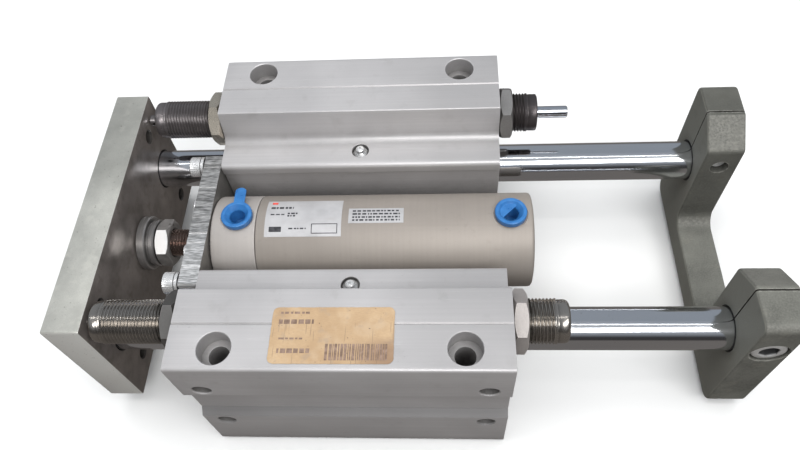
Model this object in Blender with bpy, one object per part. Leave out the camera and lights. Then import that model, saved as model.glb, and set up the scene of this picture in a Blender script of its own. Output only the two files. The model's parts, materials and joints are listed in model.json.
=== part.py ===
"""Guided pneumatic cylinder: a round cylinder between two guide towers, moving a front and a rear plate.

Units are metres and +Z is up. The piston rod comes out along -X. The origin is under the middle of the
object, level with the underside of the guide body. Lengths in the build functions are measured from the
datum: the front end face of the guide body (x), and the cylinder's axis (y and z).
"""

import math

import bmesh
import bpy
from mathutils import Matrix

# Guide body
BODY_LENGTH = 0.1411
BODY_HALF_WIDTH = 0.0860
BODY_TOP = 0.0430
BODY_BOTTOM = -0.0503
TOWER_INNER_EDGE = 0.0493
STEP_HEIGHT = 0.0249
NOSE_OUTER = 0.0319
NOSE_FACE = 0.0295
CHANNEL_SIDE = 0.0306
CHANNEL_FLOOR = -0.0295
GROOVE_LINE_Y = 0.0656
SIDE_CHANNEL_HALF = 0.0140
SIDE_CHANNEL_DEPTH = 0.0034

# Where the rods, shock absorbers and holes lie
ROD_Y = 0.0483
ABSORBER_Y = 0.0582
ABSORBER_Z = 0.0289
MOUNT_HOLE_Y = 0.0763
MOUNT_HOLE_X = (0.0200, 0.1215)
MOUNT_HEAD_RADIUS = 0.0072
MOUNT_HEAD_DEPTH = 0.0090
SIDE_HOLE_X = (0.0100, 0.1314)
SIDE_HOLE_Z = 0.0200
NIPPLE_X = 0.0709
NIPPLE_Y = 0.0385

# Plates
FRONT_GAP = 0.0415
FRONT_THICK = 0.0170
REAR_GAP = 0.0995
REAR_THICK = 0.0180
FRONT_HALF_WIDTH = 0.0677
FRONT_HALF_HEIGHT = 0.0377
REAR_HALF_WIDTH = 0.0668
REAR_TOP = 0.0376
REAR_BOTTOM = -0.0470
NOTCH_HALF_WIDTH = 0.0317
NOTCH_FLOOR = -0.0320
LOBE_TOP_INNER_Y = 0.0465
LOBE_SLOPE_FOOT_Z = 0.0270
SLIT_WIDTH = 0.0008
CLAMP_HEAD_RADIUS = 0.0074
CLAMP_HEAD_DEPTH = 0.0090
CLAMP_Z = 0.0149

# Rods, cylinder and shock absorbers
GUIDE_ROD_RADIUS = 0.0100
BUSHING_RADIUS = 0.0160
BUSHING_LENGTH = 0.0420
TUBE_RADIUS = 0.0235
BORE_RADIUS = 0.0200
COVER_END = 0.0220
TUBE_END = 0.1555
PISTON_ROD_RADIUS = 0.0080
THREAD_RADIUS = 0.0069
ROD_TIP_X = -0.0366
PORT_RADIUS = 0.0049
PORT_SEAT = 0.0226
FRONT_PORT_X = 0.0129
REAR_PORT_X = 0.1446
FLANGE_THICK = 0.0090
FLANGE_HALF_WIDTH = 0.0378
FLANGE_HALF_HEIGHT = 0.0240
FLANGE_SCREW_Y = 0.0340
FLANGE_SCREW_Z = (-0.0193, 0.0193)
CYLINDER_SCREW_AT = 0.0134
SCREW_RADIUS = 0.0025
SMALL_SCREW_RADIUS = 0.0020
ABSORBER_RADIUS = 0.0098
ABSORBER_LENGTH = 0.0732
NOSE_RADIUS = 0.0093
PLUNGER_RADIUS = 0.0030
PLUNGER_STROKE = 0.0150
NUT_ACROSS_FLATS = 0.0240
NUT_THICK = 0.0062

# Clearances
GAP = 0.0003
RUNNING = 0.00006
DRILL_OVER = 0.0010

# Sides of the round pieces
FINE = 28
MEDIUM = 20
COARSE = 14
SMALL = 10

FRONT_OUTER_X = -FRONT_GAP - FRONT_THICK
REAR_OUTER_X = BODY_LENGTH + REAR_GAP + REAR_THICK
DATUM_X = -(FRONT_OUTER_X + REAR_OUTER_X) / 2
DATUM_Z = -BODY_BOTTOM


def clear_scene():
    for obj in list(bpy.data.objects):
        bpy.data.objects.remove(obj, do_unlink=True)
    for mesh in list(bpy.data.meshes):
        bpy.data.meshes.remove(mesh)
    for material in list(bpy.data.materials):
        bpy.data.materials.remove(material)


def make_material(name, colour, metallic, roughness):
    material = bpy.data.materials.new(name)
    material.use_nodes = True
    shader = material.node_tree.nodes["Principled BSDF"]
    shader.inputs["Base Color"].default_value = (*colour, 1.0)
    shader.inputs["Metallic"].default_value = metallic
    shader.inputs["Roughness"].default_value = roughness
    return material


def finish_mesh(bm, name):
    bmesh.ops.recalc_face_normals(bm, faces=bm.faces)
    mesh = bpy.data.meshes.new(name)
    bm.to_mesh(mesh)
    bm.free()
    return mesh


# Each matrix turns the X axis, along which shapes are built, onto another axis.
ALONG = {
    "X": Matrix.Identity(4),
    "Y": Matrix.Rotation(math.radians(90), 4, "Z"),
    "-Y": Matrix.Rotation(math.radians(-90), 4, "Z"),
    "Z": Matrix.Rotation(math.radians(-90), 4, "Y"),
    "-X": Matrix.Rotation(math.radians(180), 4, "Z"),
}


def turned(name, profile, steps, axis="X"):
    """A turned solid from (position, radius) points. A profile that starts off the axis makes a ring."""
    bm = bmesh.new()
    rings = []
    for position, radius in profile:
        if radius == 0:
            rings.append([bm.verts.new((position, 0, 0))])
            continue
        ring = []
        for step in range(steps):
            angle = 2 * math.pi * (step + 0.5) / steps
            ring.append(bm.verts.new((position, radius * math.cos(angle), radius * math.sin(angle))))
        rings.append(ring)
    pairs = list(zip(rings, rings[1:]))
    if profile[0][1] > 0:
        pairs.append((rings[-1], rings[0]))
    for first, second in pairs:
        for step in range(steps):
            after = (step + 1) % steps
            corners = [first[step % len(first)]]
            if len(first) > 1:
                corners.append(first[after])
            if len(second) > 1:
                corners.append(second[after])
            corners.append(second[step % len(second)])
            bm.faces.new(corners)
    bmesh.ops.transform(bm, matrix=ALONG[axis], verts=bm.verts)
    return finish_mesh(bm, name)


def extruded(name, outline, length, axis="X", bevel=0.0):
    """A solid with the (y, z) outline, extruded from 0 to length along X and then turned onto the axis."""
    bm = bmesh.new()
    near = [bm.verts.new((0, y, z)) for y, z in outline]
    far = [bm.verts.new((length, y, z)) for y, z in outline]
    bm.faces.new(near)
    bm.faces.new(far)
    count = len(outline)
    for index in range(count):
        after = (index + 1) % count
        bm.faces.new((near[index], near[after], far[after], far[index]))
    bmesh.ops.recalc_face_normals(bm, faces=bm.faces)
    if bevel:
        ends = [edge for edge in bm.edges if len({round(vert.co.x, 6) for vert in edge.verts}) == 1]
        bmesh.ops.bevel(bm, geom=ends, offset=bevel, segments=1, affect="EDGES", clamp_overlap=True)
    bmesh.ops.transform(bm, matrix=ALONG[axis], verts=bm.verts)
    return finish_mesh(bm, name)


def block(name, size, bevel=0.0):
    """A box centred on its own origin."""
    bm = bmesh.new()
    bmesh.ops.create_cube(bm, size=1.0)
    bmesh.ops.scale(bm, vec=size, verts=bm.verts)
    if bevel:
        bmesh.ops.bevel(bm, geom=list(bm.edges), offset=bevel, segments=1, affect="EDGES")
    return finish_mesh(bm, name)


def add(mesh, location=(0, 0, 0), parent=None):
    obj = bpy.data.objects.new(mesh.name, mesh)
    bpy.context.scene.collection.objects.link(obj)
    obj.location = location
    obj.parent = parent
    return obj


def add_frame(name, location):
    empty = bpy.data.objects.new(name, None)
    bpy.context.scene.collection.objects.link(empty)
    empty.location = location
    empty.empty_display_size = 0.02
    return empty


def combine(obj, tools, operation="DIFFERENCE"):
    """Cuts the tools from the object, or joins them to it, and removes them. All share one parent."""
    for tool in tools:
        modifier = obj.modifiers.new(operation.title(), "BOOLEAN")
        modifier.operation = operation
        modifier.solver = "EXACT"
        modifier.object = tool
        tool.hide_render = True
        tool.display_type = "WIRE"
    bpy.context.view_layer.update()
    graph = bpy.context.evaluated_depsgraph_get()
    result = bpy.data.meshes.new_from_object(obj.evaluated_get(graph))
    result.name = obj.data.name
    obj.modifiers.clear()
    obj.data = result
    for tool in tools:
        bpy.data.objects.remove(tool, do_unlink=True)


def finish(obj, name, material, smooth=True):
    obj.name = name
    obj.data.name = name
    obj.data.materials.clear()
    obj.data.materials.append(material)
    if smooth:
        obj.data.shade_smooth()
        obj.data.set_sharp_from_angle(angle=math.radians(32))
    return obj


def hole(start, end, radius, location, axis="X", steps=COARSE, through=False):
    """A drill from start to end along the axis. It runs on past start, and past end if it goes through."""
    over = DRILL_OVER if end > start else -DRILL_OVER
    far = end + over if through else end
    profile = [(start - over, 0), (start - over, radius), (far, radius), (far, 0)]
    return add(turned("drill", profile, steps, axis), location)


def stepped_hole(mouth, shoulder, end, wide, narrow, location, axis, steps=COARSE, through=False):
    """A counterbored drill: wide from the mouth to the shoulder, then narrow as far as the end."""
    over = DRILL_OVER if end > mouth else -DRILL_OVER
    far = end + over if through else end
    profile = [
        (mouth - over, 0),
        (mouth - over, wide),
        (shoulder, wide),
        (shoulder, narrow),
        (far, narrow),
        (far, 0),
    ]
    return add(turned("drill", profile, steps, axis), location)


def arc(centre_y, centre_z, radius, start, end, count):
    """Points along a circle from one angle to another, in degrees."""
    points = []
    for index in range(count):
        angle = math.radians(start + (end - start) * index / (count - 1))
        points.append((centre_y + radius * math.cos(angle), centre_z + radius * math.sin(angle)))
    return points


def body_outline():
    """Half of the extrusion's section, from the middle of the underside to the middle of the channel."""
    edge = 0.0015
    foot = 0.0030
    line = 0.0006
    wall_foot_y = TOWER_INNER_EDGE - 0.0027
    half = [
        (0.0, BODY_BOTTOM + 0.0015),
        (0.0260, BODY_BOTTOM + 0.0015),
        (0.0275, BODY_BOTTOM),
        (BODY_HALF_WIDTH - foot, BODY_BOTTOM),
        (BODY_HALF_WIDTH, BODY_BOTTOM + foot),
        (BODY_HALF_WIDTH, -SIDE_CHANNEL_HALF),
        (BODY_HALF_WIDTH - SIDE_CHANNEL_DEPTH, -SIDE_CHANNEL_HALF + SIDE_CHANNEL_DEPTH),
        (BODY_HALF_WIDTH - SIDE_CHANNEL_DEPTH, SIDE_CHANNEL_HALF - SIDE_CHANNEL_DEPTH),
        (BODY_HALF_WIDTH, SIDE_CHANNEL_HALF),
        (BODY_HALF_WIDTH, BODY_TOP - edge),
        (BODY_HALF_WIDTH - edge, BODY_TOP),
        (GROOVE_LINE_Y + line, BODY_TOP),
        (GROOVE_LINE_Y, BODY_TOP - line),
        (GROOVE_LINE_Y - line, BODY_TOP),
        (TOWER_INNER_EDGE, BODY_TOP),
    ]
    # The wall leans in a little, then a hollow fillet runs out onto the lower step.
    half += arc(wall_foot_y - 0.0042, STEP_HEIGHT + 0.0045, 0.0045, -5, -85, 7)
    half += [(NOSE_OUTER, STEP_HEIGHT)]
    # The rounded nose of the step overhangs the channel's side.
    half += arc(NOSE_OUTER - 0.0002, STEP_HEIGHT - 0.0025, 0.0024, 100, 180, 5)
    half += [
        (NOSE_FACE, 0.0188),
        (CHANNEL_SIDE, 0.0172),
        (CHANNEL_SIDE, CHANNEL_FLOOR + 0.0060),
        (CHANNEL_SIDE - 0.0018, CHANNEL_FLOOR + 0.0018),
        (CHANNEL_SIDE - 0.0060, CHANNEL_FLOOR),
        (0.0, CHANNEL_FLOOR),
    ]
    return half


def build_guide_body(parent, material):
    half = body_outline()
    other = [(-y, z) for y, z in reversed(half[1:-1])]
    body = add(extruded("guide_body", half + other, BODY_LENGTH, bevel=0.0004), parent=parent)
    drills = []
    reach = BODY_LENGTH
    for side in (-1, 1):
        at_rod = (0, side * ROD_Y, 0)
        seat = BUSHING_RADIUS + GAP
        seat_end = 0.0480
        edge = 0.0006
        profile = [(-DRILL_OVER, 0), (-DRILL_OVER, seat + edge), (0, seat + edge), (edge, seat)]
        profile += [(seat_end, seat), (seat_end, 0.0130)]
        profile += [(reach - position, radius) for position, radius in reversed(profile)]
        drills.append(add(turned("drill", profile, FINE), at_rod))
        at_absorber = (0, side * ABSORBER_Y, ABSORBER_Z)
        drills.append(hole(0, reach, ABSORBER_RADIUS + GAP, at_absorber, "X", MEDIUM, True))
        for x in MOUNT_HOLE_X:
            at = (x, side * MOUNT_HOLE_Y, 0)
            shoulder = BODY_TOP - MOUNT_HEAD_DEPTH
            drills.append(stepped_hole(BODY_TOP, shoulder, BODY_BOTTOM, MOUNT_HEAD_RADIUS, 0.0045, at, "Z",
                                       MEDIUM, True))
        for x in SIDE_HOLE_X:
            for z in (-SIDE_HOLE_Z, SIDE_HOLE_Z):
                at = (x, side * BODY_HALF_WIDTH, z)
                inward = "-Y" if side > 0 else "Y"
                drills.append(hole(0, 0.0120, 0.00425, at, inward, COARSE))
        at = (NIPPLE_X, side * NIPPLE_Y, STEP_HEIGHT)
        drills.append(stepped_hole(0, -0.0030, -0.0090, 0.0043, 0.0028, at, "Z", COARSE))
        for z in FLANGE_SCREW_Z:
            at = (0, side * FLANGE_SCREW_Y, z)
            drills.append(hole(0, 0.0160, SCREW_RADIUS + GAP, at, "X", SMALL))
    for drill in drills:
        drill.parent = parent
    combine(body, drills)
    return finish(body, "guide_body", material)


def socket_screw(name, shank, head_radius, head_height, length, socket, axis, steps):
    """A socket screw: its head starts at the origin and the shank runs on along the axis."""
    edge = 0.0006
    profile = [
        (-head_height, 0),
        (-head_height, head_radius - edge),
        (-head_height + edge, head_radius),
        (-GAP, head_radius),
        (-GAP, shank),
        (length, shank),
        (length, 0),
    ]
    screw = add(turned(name, profile, steps, axis))
    hexagon = arc(0, 0, socket / math.cos(math.radians(30)), 30, 330, 6)
    key = add(extruded("key", hexagon, head_height, axis))
    offset = ALONG[axis] @ Matrix.Translation((-head_height * 1.45, 0, 0))
    key.location = offset.translation
    combine(screw, [key])
    return screw.data, screw


def add_screws(names, places, parent, material, recipe):
    """Copies of one screw, sharing its mesh."""
    mesh, first = socket_screw(names[0], *recipe)
    for index, (name, place) in enumerate(zip(names, places)):
        screw = first if index == 0 else add(mesh)
        screw.parent = parent
        screw.location = place
        screw.name = name
    finish(first, names[0], material)


def build_flange(parent, steel, zinc):
    width = FLANGE_HALF_WIDTH
    height = FLANGE_HALF_HEIGHT
    outline = [(-width, -height), (width, -height), (width, height), (-width, height)]
    front = -GAP - FLANGE_THICK
    plate = add(extruded("small_flange", outline, FLANGE_THICK, bevel=0.0004), (front, 0, 0), parent)
    drills = [hole(0, FLANGE_THICK, 0.0140 + GAP, (front, 0, 0), "X", FINE, True)]
    places = []
    for y in (-FLANGE_SCREW_Y, FLANGE_SCREW_Y):
        for z in FLANGE_SCREW_Z:
            places.append((front - GAP, y, z))
    inner = []
    for y in (-CYLINDER_SCREW_AT, CYLINDER_SCREW_AT):
        for z in (-CYLINDER_SCREW_AT, CYLINDER_SCREW_AT):
            inner.append((front - GAP, y, z))
    for radius, spots in ((SCREW_RADIUS, places), (SMALL_SCREW_RADIUS, inner)):
        for x, y, z in spots:
            drills.append(hole(0, FLANGE_THICK, radius + GAP, (front, y, z), "X", SMALL, True))
    for drill in drills:
        drill.parent = parent
    combine(plate, drills)
    finish(plate, "small_flange", steel)
    corners = ["near_low", "near_high", "far_low", "far_high"]
    recipe = (SCREW_RADIUS, 0.0053, 0.0077, 0.0240, 0.0025, "X", COARSE)
    add_screws(["flange_screw_" + corner for corner in corners], places, parent, zinc, recipe)
    recipe = (SMALL_SCREW_RADIUS, 0.0035, 0.0040, 0.0170, 0.0015, "X", SMALL)
    add_screws(["cylinder_screw_" + corner for corner in corners], inner, parent, zinc, recipe)


def build_cylinder(parent, barrel, cover, bronze, rubber):
    cushion = 0.0125
    seat = 0.0110
    # Rod cover: a boss through the flange, the outer drum and a spigot inside the tube.
    profile = [
        (-0.0122, seat),
        (-0.0122, 0.0136),
        (-0.0118, 0.0140),
        (0.0, 0.0140),
        (0.0, TUBE_RADIUS - 0.0010),
        (0.0010, TUBE_RADIUS),
        (COVER_END - 0.0005, TUBE_RADIUS),
        (COVER_END, TUBE_RADIUS - 0.0005),
        (COVER_END, BORE_RADIUS - GAP),
        (COVER_END + 0.0055, BORE_RADIUS - GAP),
        (COVER_END + 0.0055, cushion),
        (0.0073, cushion),
        (0.0073, seat),
    ]
    rod_cover = add(turned("rod_cover", profile, FINE), parent=parent)
    drills = [port_drill(FRONT_PORT_X)]
    for y in (-CYLINDER_SCREW_AT, CYLINDER_SCREW_AT):
        for z in (-CYLINDER_SCREW_AT, CYLINDER_SCREW_AT):
            drills.append(hole(0, 0.0100, SMALL_SCREW_RADIUS + GAP, (0, y, z), "X", SMALL))
    for drill in drills:
        drill.parent = parent
    combine(rod_cover, drills)
    finish(rod_cover, "rod_cover", cover)

    # Tube with a closed rear head; the rear port opens into the head's recess.
    head = 0.1346
    profile = [
        (COVER_END + GAP, BORE_RADIUS),
        (COVER_END + GAP, TUBE_RADIUS - 0.0004),
        (COVER_END + GAP + 0.0004, TUBE_RADIUS),
        (TUBE_END - 0.0012, TUBE_RADIUS),
        (TUBE_END, TUBE_RADIUS - 0.0012),
        (TUBE_END, 0),
        (head + 0.0160, 0),
        (head + 0.0160, cushion),
        (head, cushion),
        (head, BORE_RADIUS),
    ]
    tube = add(turned_cup("cylinder_tube", profile, FINE), parent=parent)
    drills = [port_drill(REAR_PORT_X)]
    for drill in drills:
        drill.parent = parent
    combine(tube, drills)
    finish(tube, "cylinder_tube", barrel)

    bore = PISTON_ROD_RADIUS + RUNNING
    ring("rod_seal", -0.0116, -0.0034, bore, seat - GAP, parent, rubber)
    ring("rod_bush", -0.0031, 0.0070, bore, seat - GAP, parent, bronze)
    ring("bumper_front", 0.0278, 0.0292, 0.0100, 0.0194, parent, rubber, MEDIUM)
    ring("bumper_rear", 0.1323, 0.1343, 0.0128, 0.0194, parent, rubber, MEDIUM)


def ring(name, start, end, inner, outer, parent, material, steps=FINE, location=(0, 0, 0)):
    profile = [(start, inner), (start, outer), (end, outer), (end, inner)]
    piece = add(turned(name, profile, steps), location, parent)
    return finish(piece, name, material)


def turned_cup(name, profile, steps):
    """A turned solid whose profile meets the axis in its middle: the outside first, then the inside."""
    crossing = [index for index, point in enumerate(profile) if point[1] == 0]
    outside = profile[: crossing[0] + 1]
    inside = profile[crossing[1] :]
    return turned(name, [*reversed(outside), *reversed(inside)], steps)


def build_nut(across_flats, thick, bore, face_radius, axis, location, parent, twist=0.0):
    """A hexagon nut from 0 to thick, its corners cut back by a cone at each end."""
    corner = across_flats / 2 / math.cos(math.radians(30))
    nut = add(extruded("nut", arc(0, 0, corner, 30 + twist, 330 + twist, 6), thick, axis), location, parent)
    rise = (corner - face_radius) * 0.55
    over = 0.0006
    reach = corner - face_radius + 0.0002
    profile = [
        (-over, 0),
        (-over, face_radius - over * reach / rise),
        (rise, face_radius + reach),
        (thick - rise, face_radius + reach),
        (thick + over, face_radius - over * reach / rise),
        (thick + over, 0),
    ]
    combine(nut, [add(turned("limit", profile, MEDIUM, axis), location, parent)], "INTERSECT")
    span = [(-over, 0), (-over, bore), (thick + over, bore), (thick + over, 0)]
    combine(nut, [add(turned("bore", span, MEDIUM, axis), location, parent)])
    return nut


def port_drill(x):
    """The port and the flat round seat at its mouth, which the plug rests on."""
    return stepped_hole(TUBE_RADIUS, PORT_SEAT, 0.0080, 0.0083, PORT_RADIUS, (x, 0, 0), "Z", MEDIUM)


def build_bearings(parent, shell, rubber, zinc):
    for side, word in ((-1, "near"), (1, "far")):
        for start, end_word in ((0.0033, "front"), (BODY_LENGTH - 0.0033 - BUSHING_LENGTH, "rear")):
            name = "ball_bushing_" + word + "_" + end_word
            inner = GUIDE_ROD_RADIUS + RUNNING
            ring(name, start, start + BUSHING_LENGTH, inner, BUSHING_RADIUS, parent, shell, FINE,
                 (0, side * ROD_Y, 0))
        for start, end_word in ((0.0004, "front"), (BODY_LENGTH - 0.0030, "rear")):
            name = "wiper_" + word + "_" + end_word
            ring(name, start, start + 0.0026, GUIDE_ROD_RADIUS + RUNNING, BUSHING_RADIUS, parent, rubber,
                 FINE, (0, side * ROD_Y, 0))
        build_nipple("grease_nipple_" + word, side, parent, zinc)


def build_nipple(name, side, parent, material):
    """A grease nipple in its spot face: a plug below, a low collar, a neck and a round tip."""
    profile = [
        (-0.0085, 0),
        (-0.0085, 0.0024),
        (-0.0027, 0.0024),
        (-0.0027, 0.0036),
        (-0.0010, 0.0036),
        (-0.0004, 0.0022),
        (0.0004, 0.0016),
        (0.0010, 0.0021),
        (0.0018, 0.0017),
        (0.0021, 0.0009),
        (0.0021, 0),
    ]
    nipple = add(turned(name, profile, SMALL, "Z"), (NIPPLE_X, side * NIPPLE_Y, STEP_HEIGHT), parent)
    finish(nipple, name, material)


# Shock absorbers: name, side, end, how far the body stands out, plunger length outside,
# corner of the nose, turn of the nut in degrees
ABSORBERS = (
    ("near_front", -1, "front", 0.0396, 0.0015, 0.0016, 4.5),
    ("far_front", 1, "front", 0.0360, 0.0051, 0.0016, -17),
    ("near_rear", -1, "rear", 0.0238, 0.0002, 0.0020, -7),
    ("far_rear", 1, "rear", 0.0189, 0.0158, 0.0008, -13.5),
)


def build_absorber(name, side, end, reach, plunger_out, corner, twist, parent, metals):
    """The body, lock nut and plunger of one shock absorber, built towards -X and turned round at the rear."""
    body_metal, nut_metal, rod_metal = metals
    axis = "X" if end == "rear" else "-X"
    face = BODY_LENGTH if end == "rear" else 0.0
    location = (face, side * ABSORBER_Y, ABSORBER_Z)
    nose = reach - 0.0050
    bore = PLUNGER_RADIUS + RUNNING
    depth = 0.0460
    back = reach - ABSORBER_LENGTH
    # Out from the closed back, round the nose, and down the blind bore that the plunger runs in.
    profile = [
        (back, 0),
        (back, ABSORBER_RADIUS - 0.0010),
        (back + 0.0010, ABSORBER_RADIUS),
        (nose - 0.0005, ABSORBER_RADIUS),
        (nose, NOSE_RADIUS),
        (reach - corner, NOSE_RADIUS),
        (reach - 0.3 * corner, NOSE_RADIUS - 0.3 * corner),
        (reach, NOSE_RADIUS - corner),
        (reach, bore),
        (reach - depth, bore),
        (reach - depth, 0),
    ]
    body = add(turned("absorber", profile, MEDIUM, axis), location, parent)
    finish(body, "absorber_" + name, body_metal)

    face_radius = NUT_ACROSS_FLATS / 2 + 0.0002
    bore_radius = ABSORBER_RADIUS + GAP
    nut = build_nut(NUT_ACROSS_FLATS, NUT_THICK, bore_radius, face_radius, axis, location, parent, twist)
    nut.location.x += GAP if end == "rear" else -GAP
    finish(nut, "absorber_nut_" + name, nut_metal)

    inner_end = reach - depth + 0.0010 + (PLUNGER_STROKE if plunger_out > 0.0140 else 0.0)
    tip = reach + plunger_out
    profile = [
        (inner_end, 0),
        (inner_end, PLUNGER_RADIUS),
        (tip - 0.0005, PLUNGER_RADIUS),
        (tip, PLUNGER_RADIUS - 0.0006),
        (tip, 0),
    ]
    rod = add(turned("plunger", profile, COARSE, axis), location, parent)
    finish(rod, "absorber_rod_" + name, rod_metal)


def build_plug(name, x, tab_out, parent, material):
    """A push-in port plug: a hollow cup with a flange ring and a pull tab."""
    seat = PORT_SEAT + GAP
    profile = [
        (0.0140, 0),
        (0.0140, PORT_RADIUS - 0.0007),
        (0.0160, PORT_RADIUS - RUNNING),
        (seat, PORT_RADIUS - RUNNING),
        (seat, 0.0076),
        (seat + 0.0022, 0.0076),
        (seat + 0.0030, 0.0068),
        (seat + 0.0030, 0.0058),
        (seat + 0.0010, 0.0040),
        (0.0155, 0.0038),
        (0.0155, 0),
    ]
    plug = add(turned(name, profile, MEDIUM, "Z"), (x, 0, 0), parent)
    if tab_out:
        tab = add(block("tab", (0.0058, 0.0100, 0.0012), 0.0002), (x, 0.0112, seat + 0.0020), parent)
        combine(plug, [tab], "UNION")
    else:
        tab = add(block("tab", (0.0050, 0.0036, 0.0012), 0.0002), (x, 0.0046, seat + 0.0012), parent)
        combine(plug, [tab], "UNION")
    finish(plug, name, material)


def build_front_plate(parent, steel, zinc):
    width = FRONT_HALF_WIDTH
    height = FRONT_HALF_HEIGHT
    outline = [(-width, -height), (width, -height), (width, height), (-width, height)]
    plate = add(extruded("front_plate", outline, FRONT_THICK, bevel=0.0005), (FRONT_OUTER_X, 0, 0), parent)
    drills = []
    counterbore = 0.0086
    for y in (-ROD_Y, ROD_Y):
        locate = FRONT_THICK - 0.0027 - GAP
        profile = [
            (-0.001, 0),
            (-0.001, 0.0071),
            (counterbore, 0.0071),
            (counterbore, 0.0040 + GAP),
            (locate, 0.0040 + GAP),
            (locate, GUIDE_ROD_RADIUS + GAP),
            (FRONT_THICK + 0.001, GUIDE_ROD_RADIUS + GAP),
            (FRONT_THICK + 0.001, 0),
        ]
        drills.append(add(turned("drill", profile, MEDIUM), (FRONT_OUTER_X, y, 0)))
    drills.append(stepped_hole(0, counterbore, FRONT_THICK, 0.0071, 0.0040 + GAP, (FRONT_OUTER_X, 0, 0), "X",
                               COARSE, True))
    for y in (-0.0493, 0.0493):
        for z in (-0.0260, 0.0260):
            drills.append(hole(0, FRONT_THICK, 0.0034, (FRONT_OUTER_X, y, z), "X", COARSE, True))
    for drill in drills:
        drill.parent = parent
    combine(plate, drills)
    finish(plate, "front_plate", steel)
    seat = FRONT_OUTER_X + counterbore
    places = [(seat, -ROD_Y, 0), (seat, ROD_Y, 0)]
    recipe = (0.0040, 0.0065, 0.0080, 0.0200, 0.0030, "X", COARSE)
    add_screws(["front_screw_near", "front_screw_far"], places, parent, zinc, recipe)
    recipe = (0.0040, 0.0065, 0.0080, 0.0124, 0.0030, "X", COARSE)
    add_screws(["front_screw_centre"], [(seat, 0, 0)], parent, zinc, recipe)


def rear_outline():
    """The rear plate's section: two clamp lobes over a bar, with a notch between them."""
    width = REAR_HALF_WIDTH
    top = REAR_TOP
    half = [
        (0.0, REAR_BOTTOM),
        (width - 0.0080, REAR_BOTTOM),
        (width - 0.0020, REAR_BOTTOM + 0.0026),
        (width, REAR_BOTTOM + 0.0065),
        (width, top - 0.0050),
        (width - 0.0012, top - 0.0016),
        (width - 0.0046, top),
        (LOBE_TOP_INNER_Y + 0.0010, top),
        (LOBE_TOP_INNER_Y - 0.0012, top - 0.0007),
        (NOTCH_HALF_WIDTH + 0.0014, LOBE_SLOPE_FOOT_Z + 0.0012),
        (NOTCH_HALF_WIDTH, LOBE_SLOPE_FOOT_Z - 0.0016),
        (NOTCH_HALF_WIDTH, NOTCH_FLOOR + 0.0080),
        (NOTCH_HALF_WIDTH - 0.0018, NOTCH_FLOOR + 0.0032),
        (NOTCH_HALF_WIDTH - 0.0070, NOTCH_FLOOR),
        (0.0, NOTCH_FLOOR),
    ]
    return half


def build_rear_plate(parent, cast, zinc):
    half = rear_outline()
    other = [(-y, z) for y, z in reversed(half[1:-1])]
    inner_x = BODY_LENGTH + REAR_GAP
    plate = add(extruded("rear_plate", half + other, REAR_THICK, bevel=0.0007), (inner_x, 0, 0), parent)
    middle_x = inner_x + REAR_THICK / 2
    drills = []
    for side in (-1, 1):
        at_rod = (inner_x, side * ROD_Y, 0)
        drills.append(hole(0, REAR_THICK, GUIDE_ROD_RADIUS + GAP, at_rod, "X", FINE, True))
        slit_top = REAR_TOP + 0.001
        slit_low = GUIDE_ROD_RADIUS - 0.002
        size = (REAR_THICK + 0.002, SLIT_WIDTH, slit_top - slit_low)
        centre = (middle_x, side * ROD_Y, (slit_top + slit_low) / 2)
        drills.append(add(block("slit", size), centre))
        inward = "-Y" if side > 0 else "Y"
        at = (middle_x, side * REAR_HALF_WIDTH, CLAMP_Z)
        wide = CLAMP_HEAD_RADIUS + 2 * GAP
        drills.append(stepped_hole(0, CLAMP_HEAD_DEPTH, 0.0370, wide, 0.0040 + GAP, at, inward, COARSE))
    for drill in drills:
        drill.parent = parent
    combine(plate, drills)
    finish(plate, "rear_plate", cast)
    for side, word in ((-1, "near"), (1, "far")):
        axis = "Y" if side < 0 else "-Y"
        place = (middle_x, side * (REAR_HALF_WIDTH - CLAMP_HEAD_DEPTH + GAP), CLAMP_Z)
        recipe = (0.0040, CLAMP_HEAD_RADIUS, 0.0080, 0.0230, 0.0040, axis, COARSE)
        add_screws(["clamp_screw_" + word], [place], parent, zinc, recipe)


def build_guide_rods(parent, chrome):
    front = -FRONT_GAP - 0.0027
    rear = REAR_OUTER_X - 0.0004
    for side, word in ((-1, "near"), (1, "far")):
        edge = 0.0008
        profile = [
            (rear, 0),
            (rear, GUIDE_ROD_RADIUS - edge),
            (rear - edge, GUIDE_ROD_RADIUS),
            (front + edge, GUIDE_ROD_RADIUS),
            (front, GUIDE_ROD_RADIUS - edge),
            (front, 0.0040 + GAP),
            (front + 0.0220, 0.0040 + GAP),
            (front + 0.0220, 0),
        ]
        rod = add(turned("guide_rod", profile, FINE), (0, side * ROD_Y, 0), parent)
        finish(rod, "guide_rod_" + word, chrome)


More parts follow.
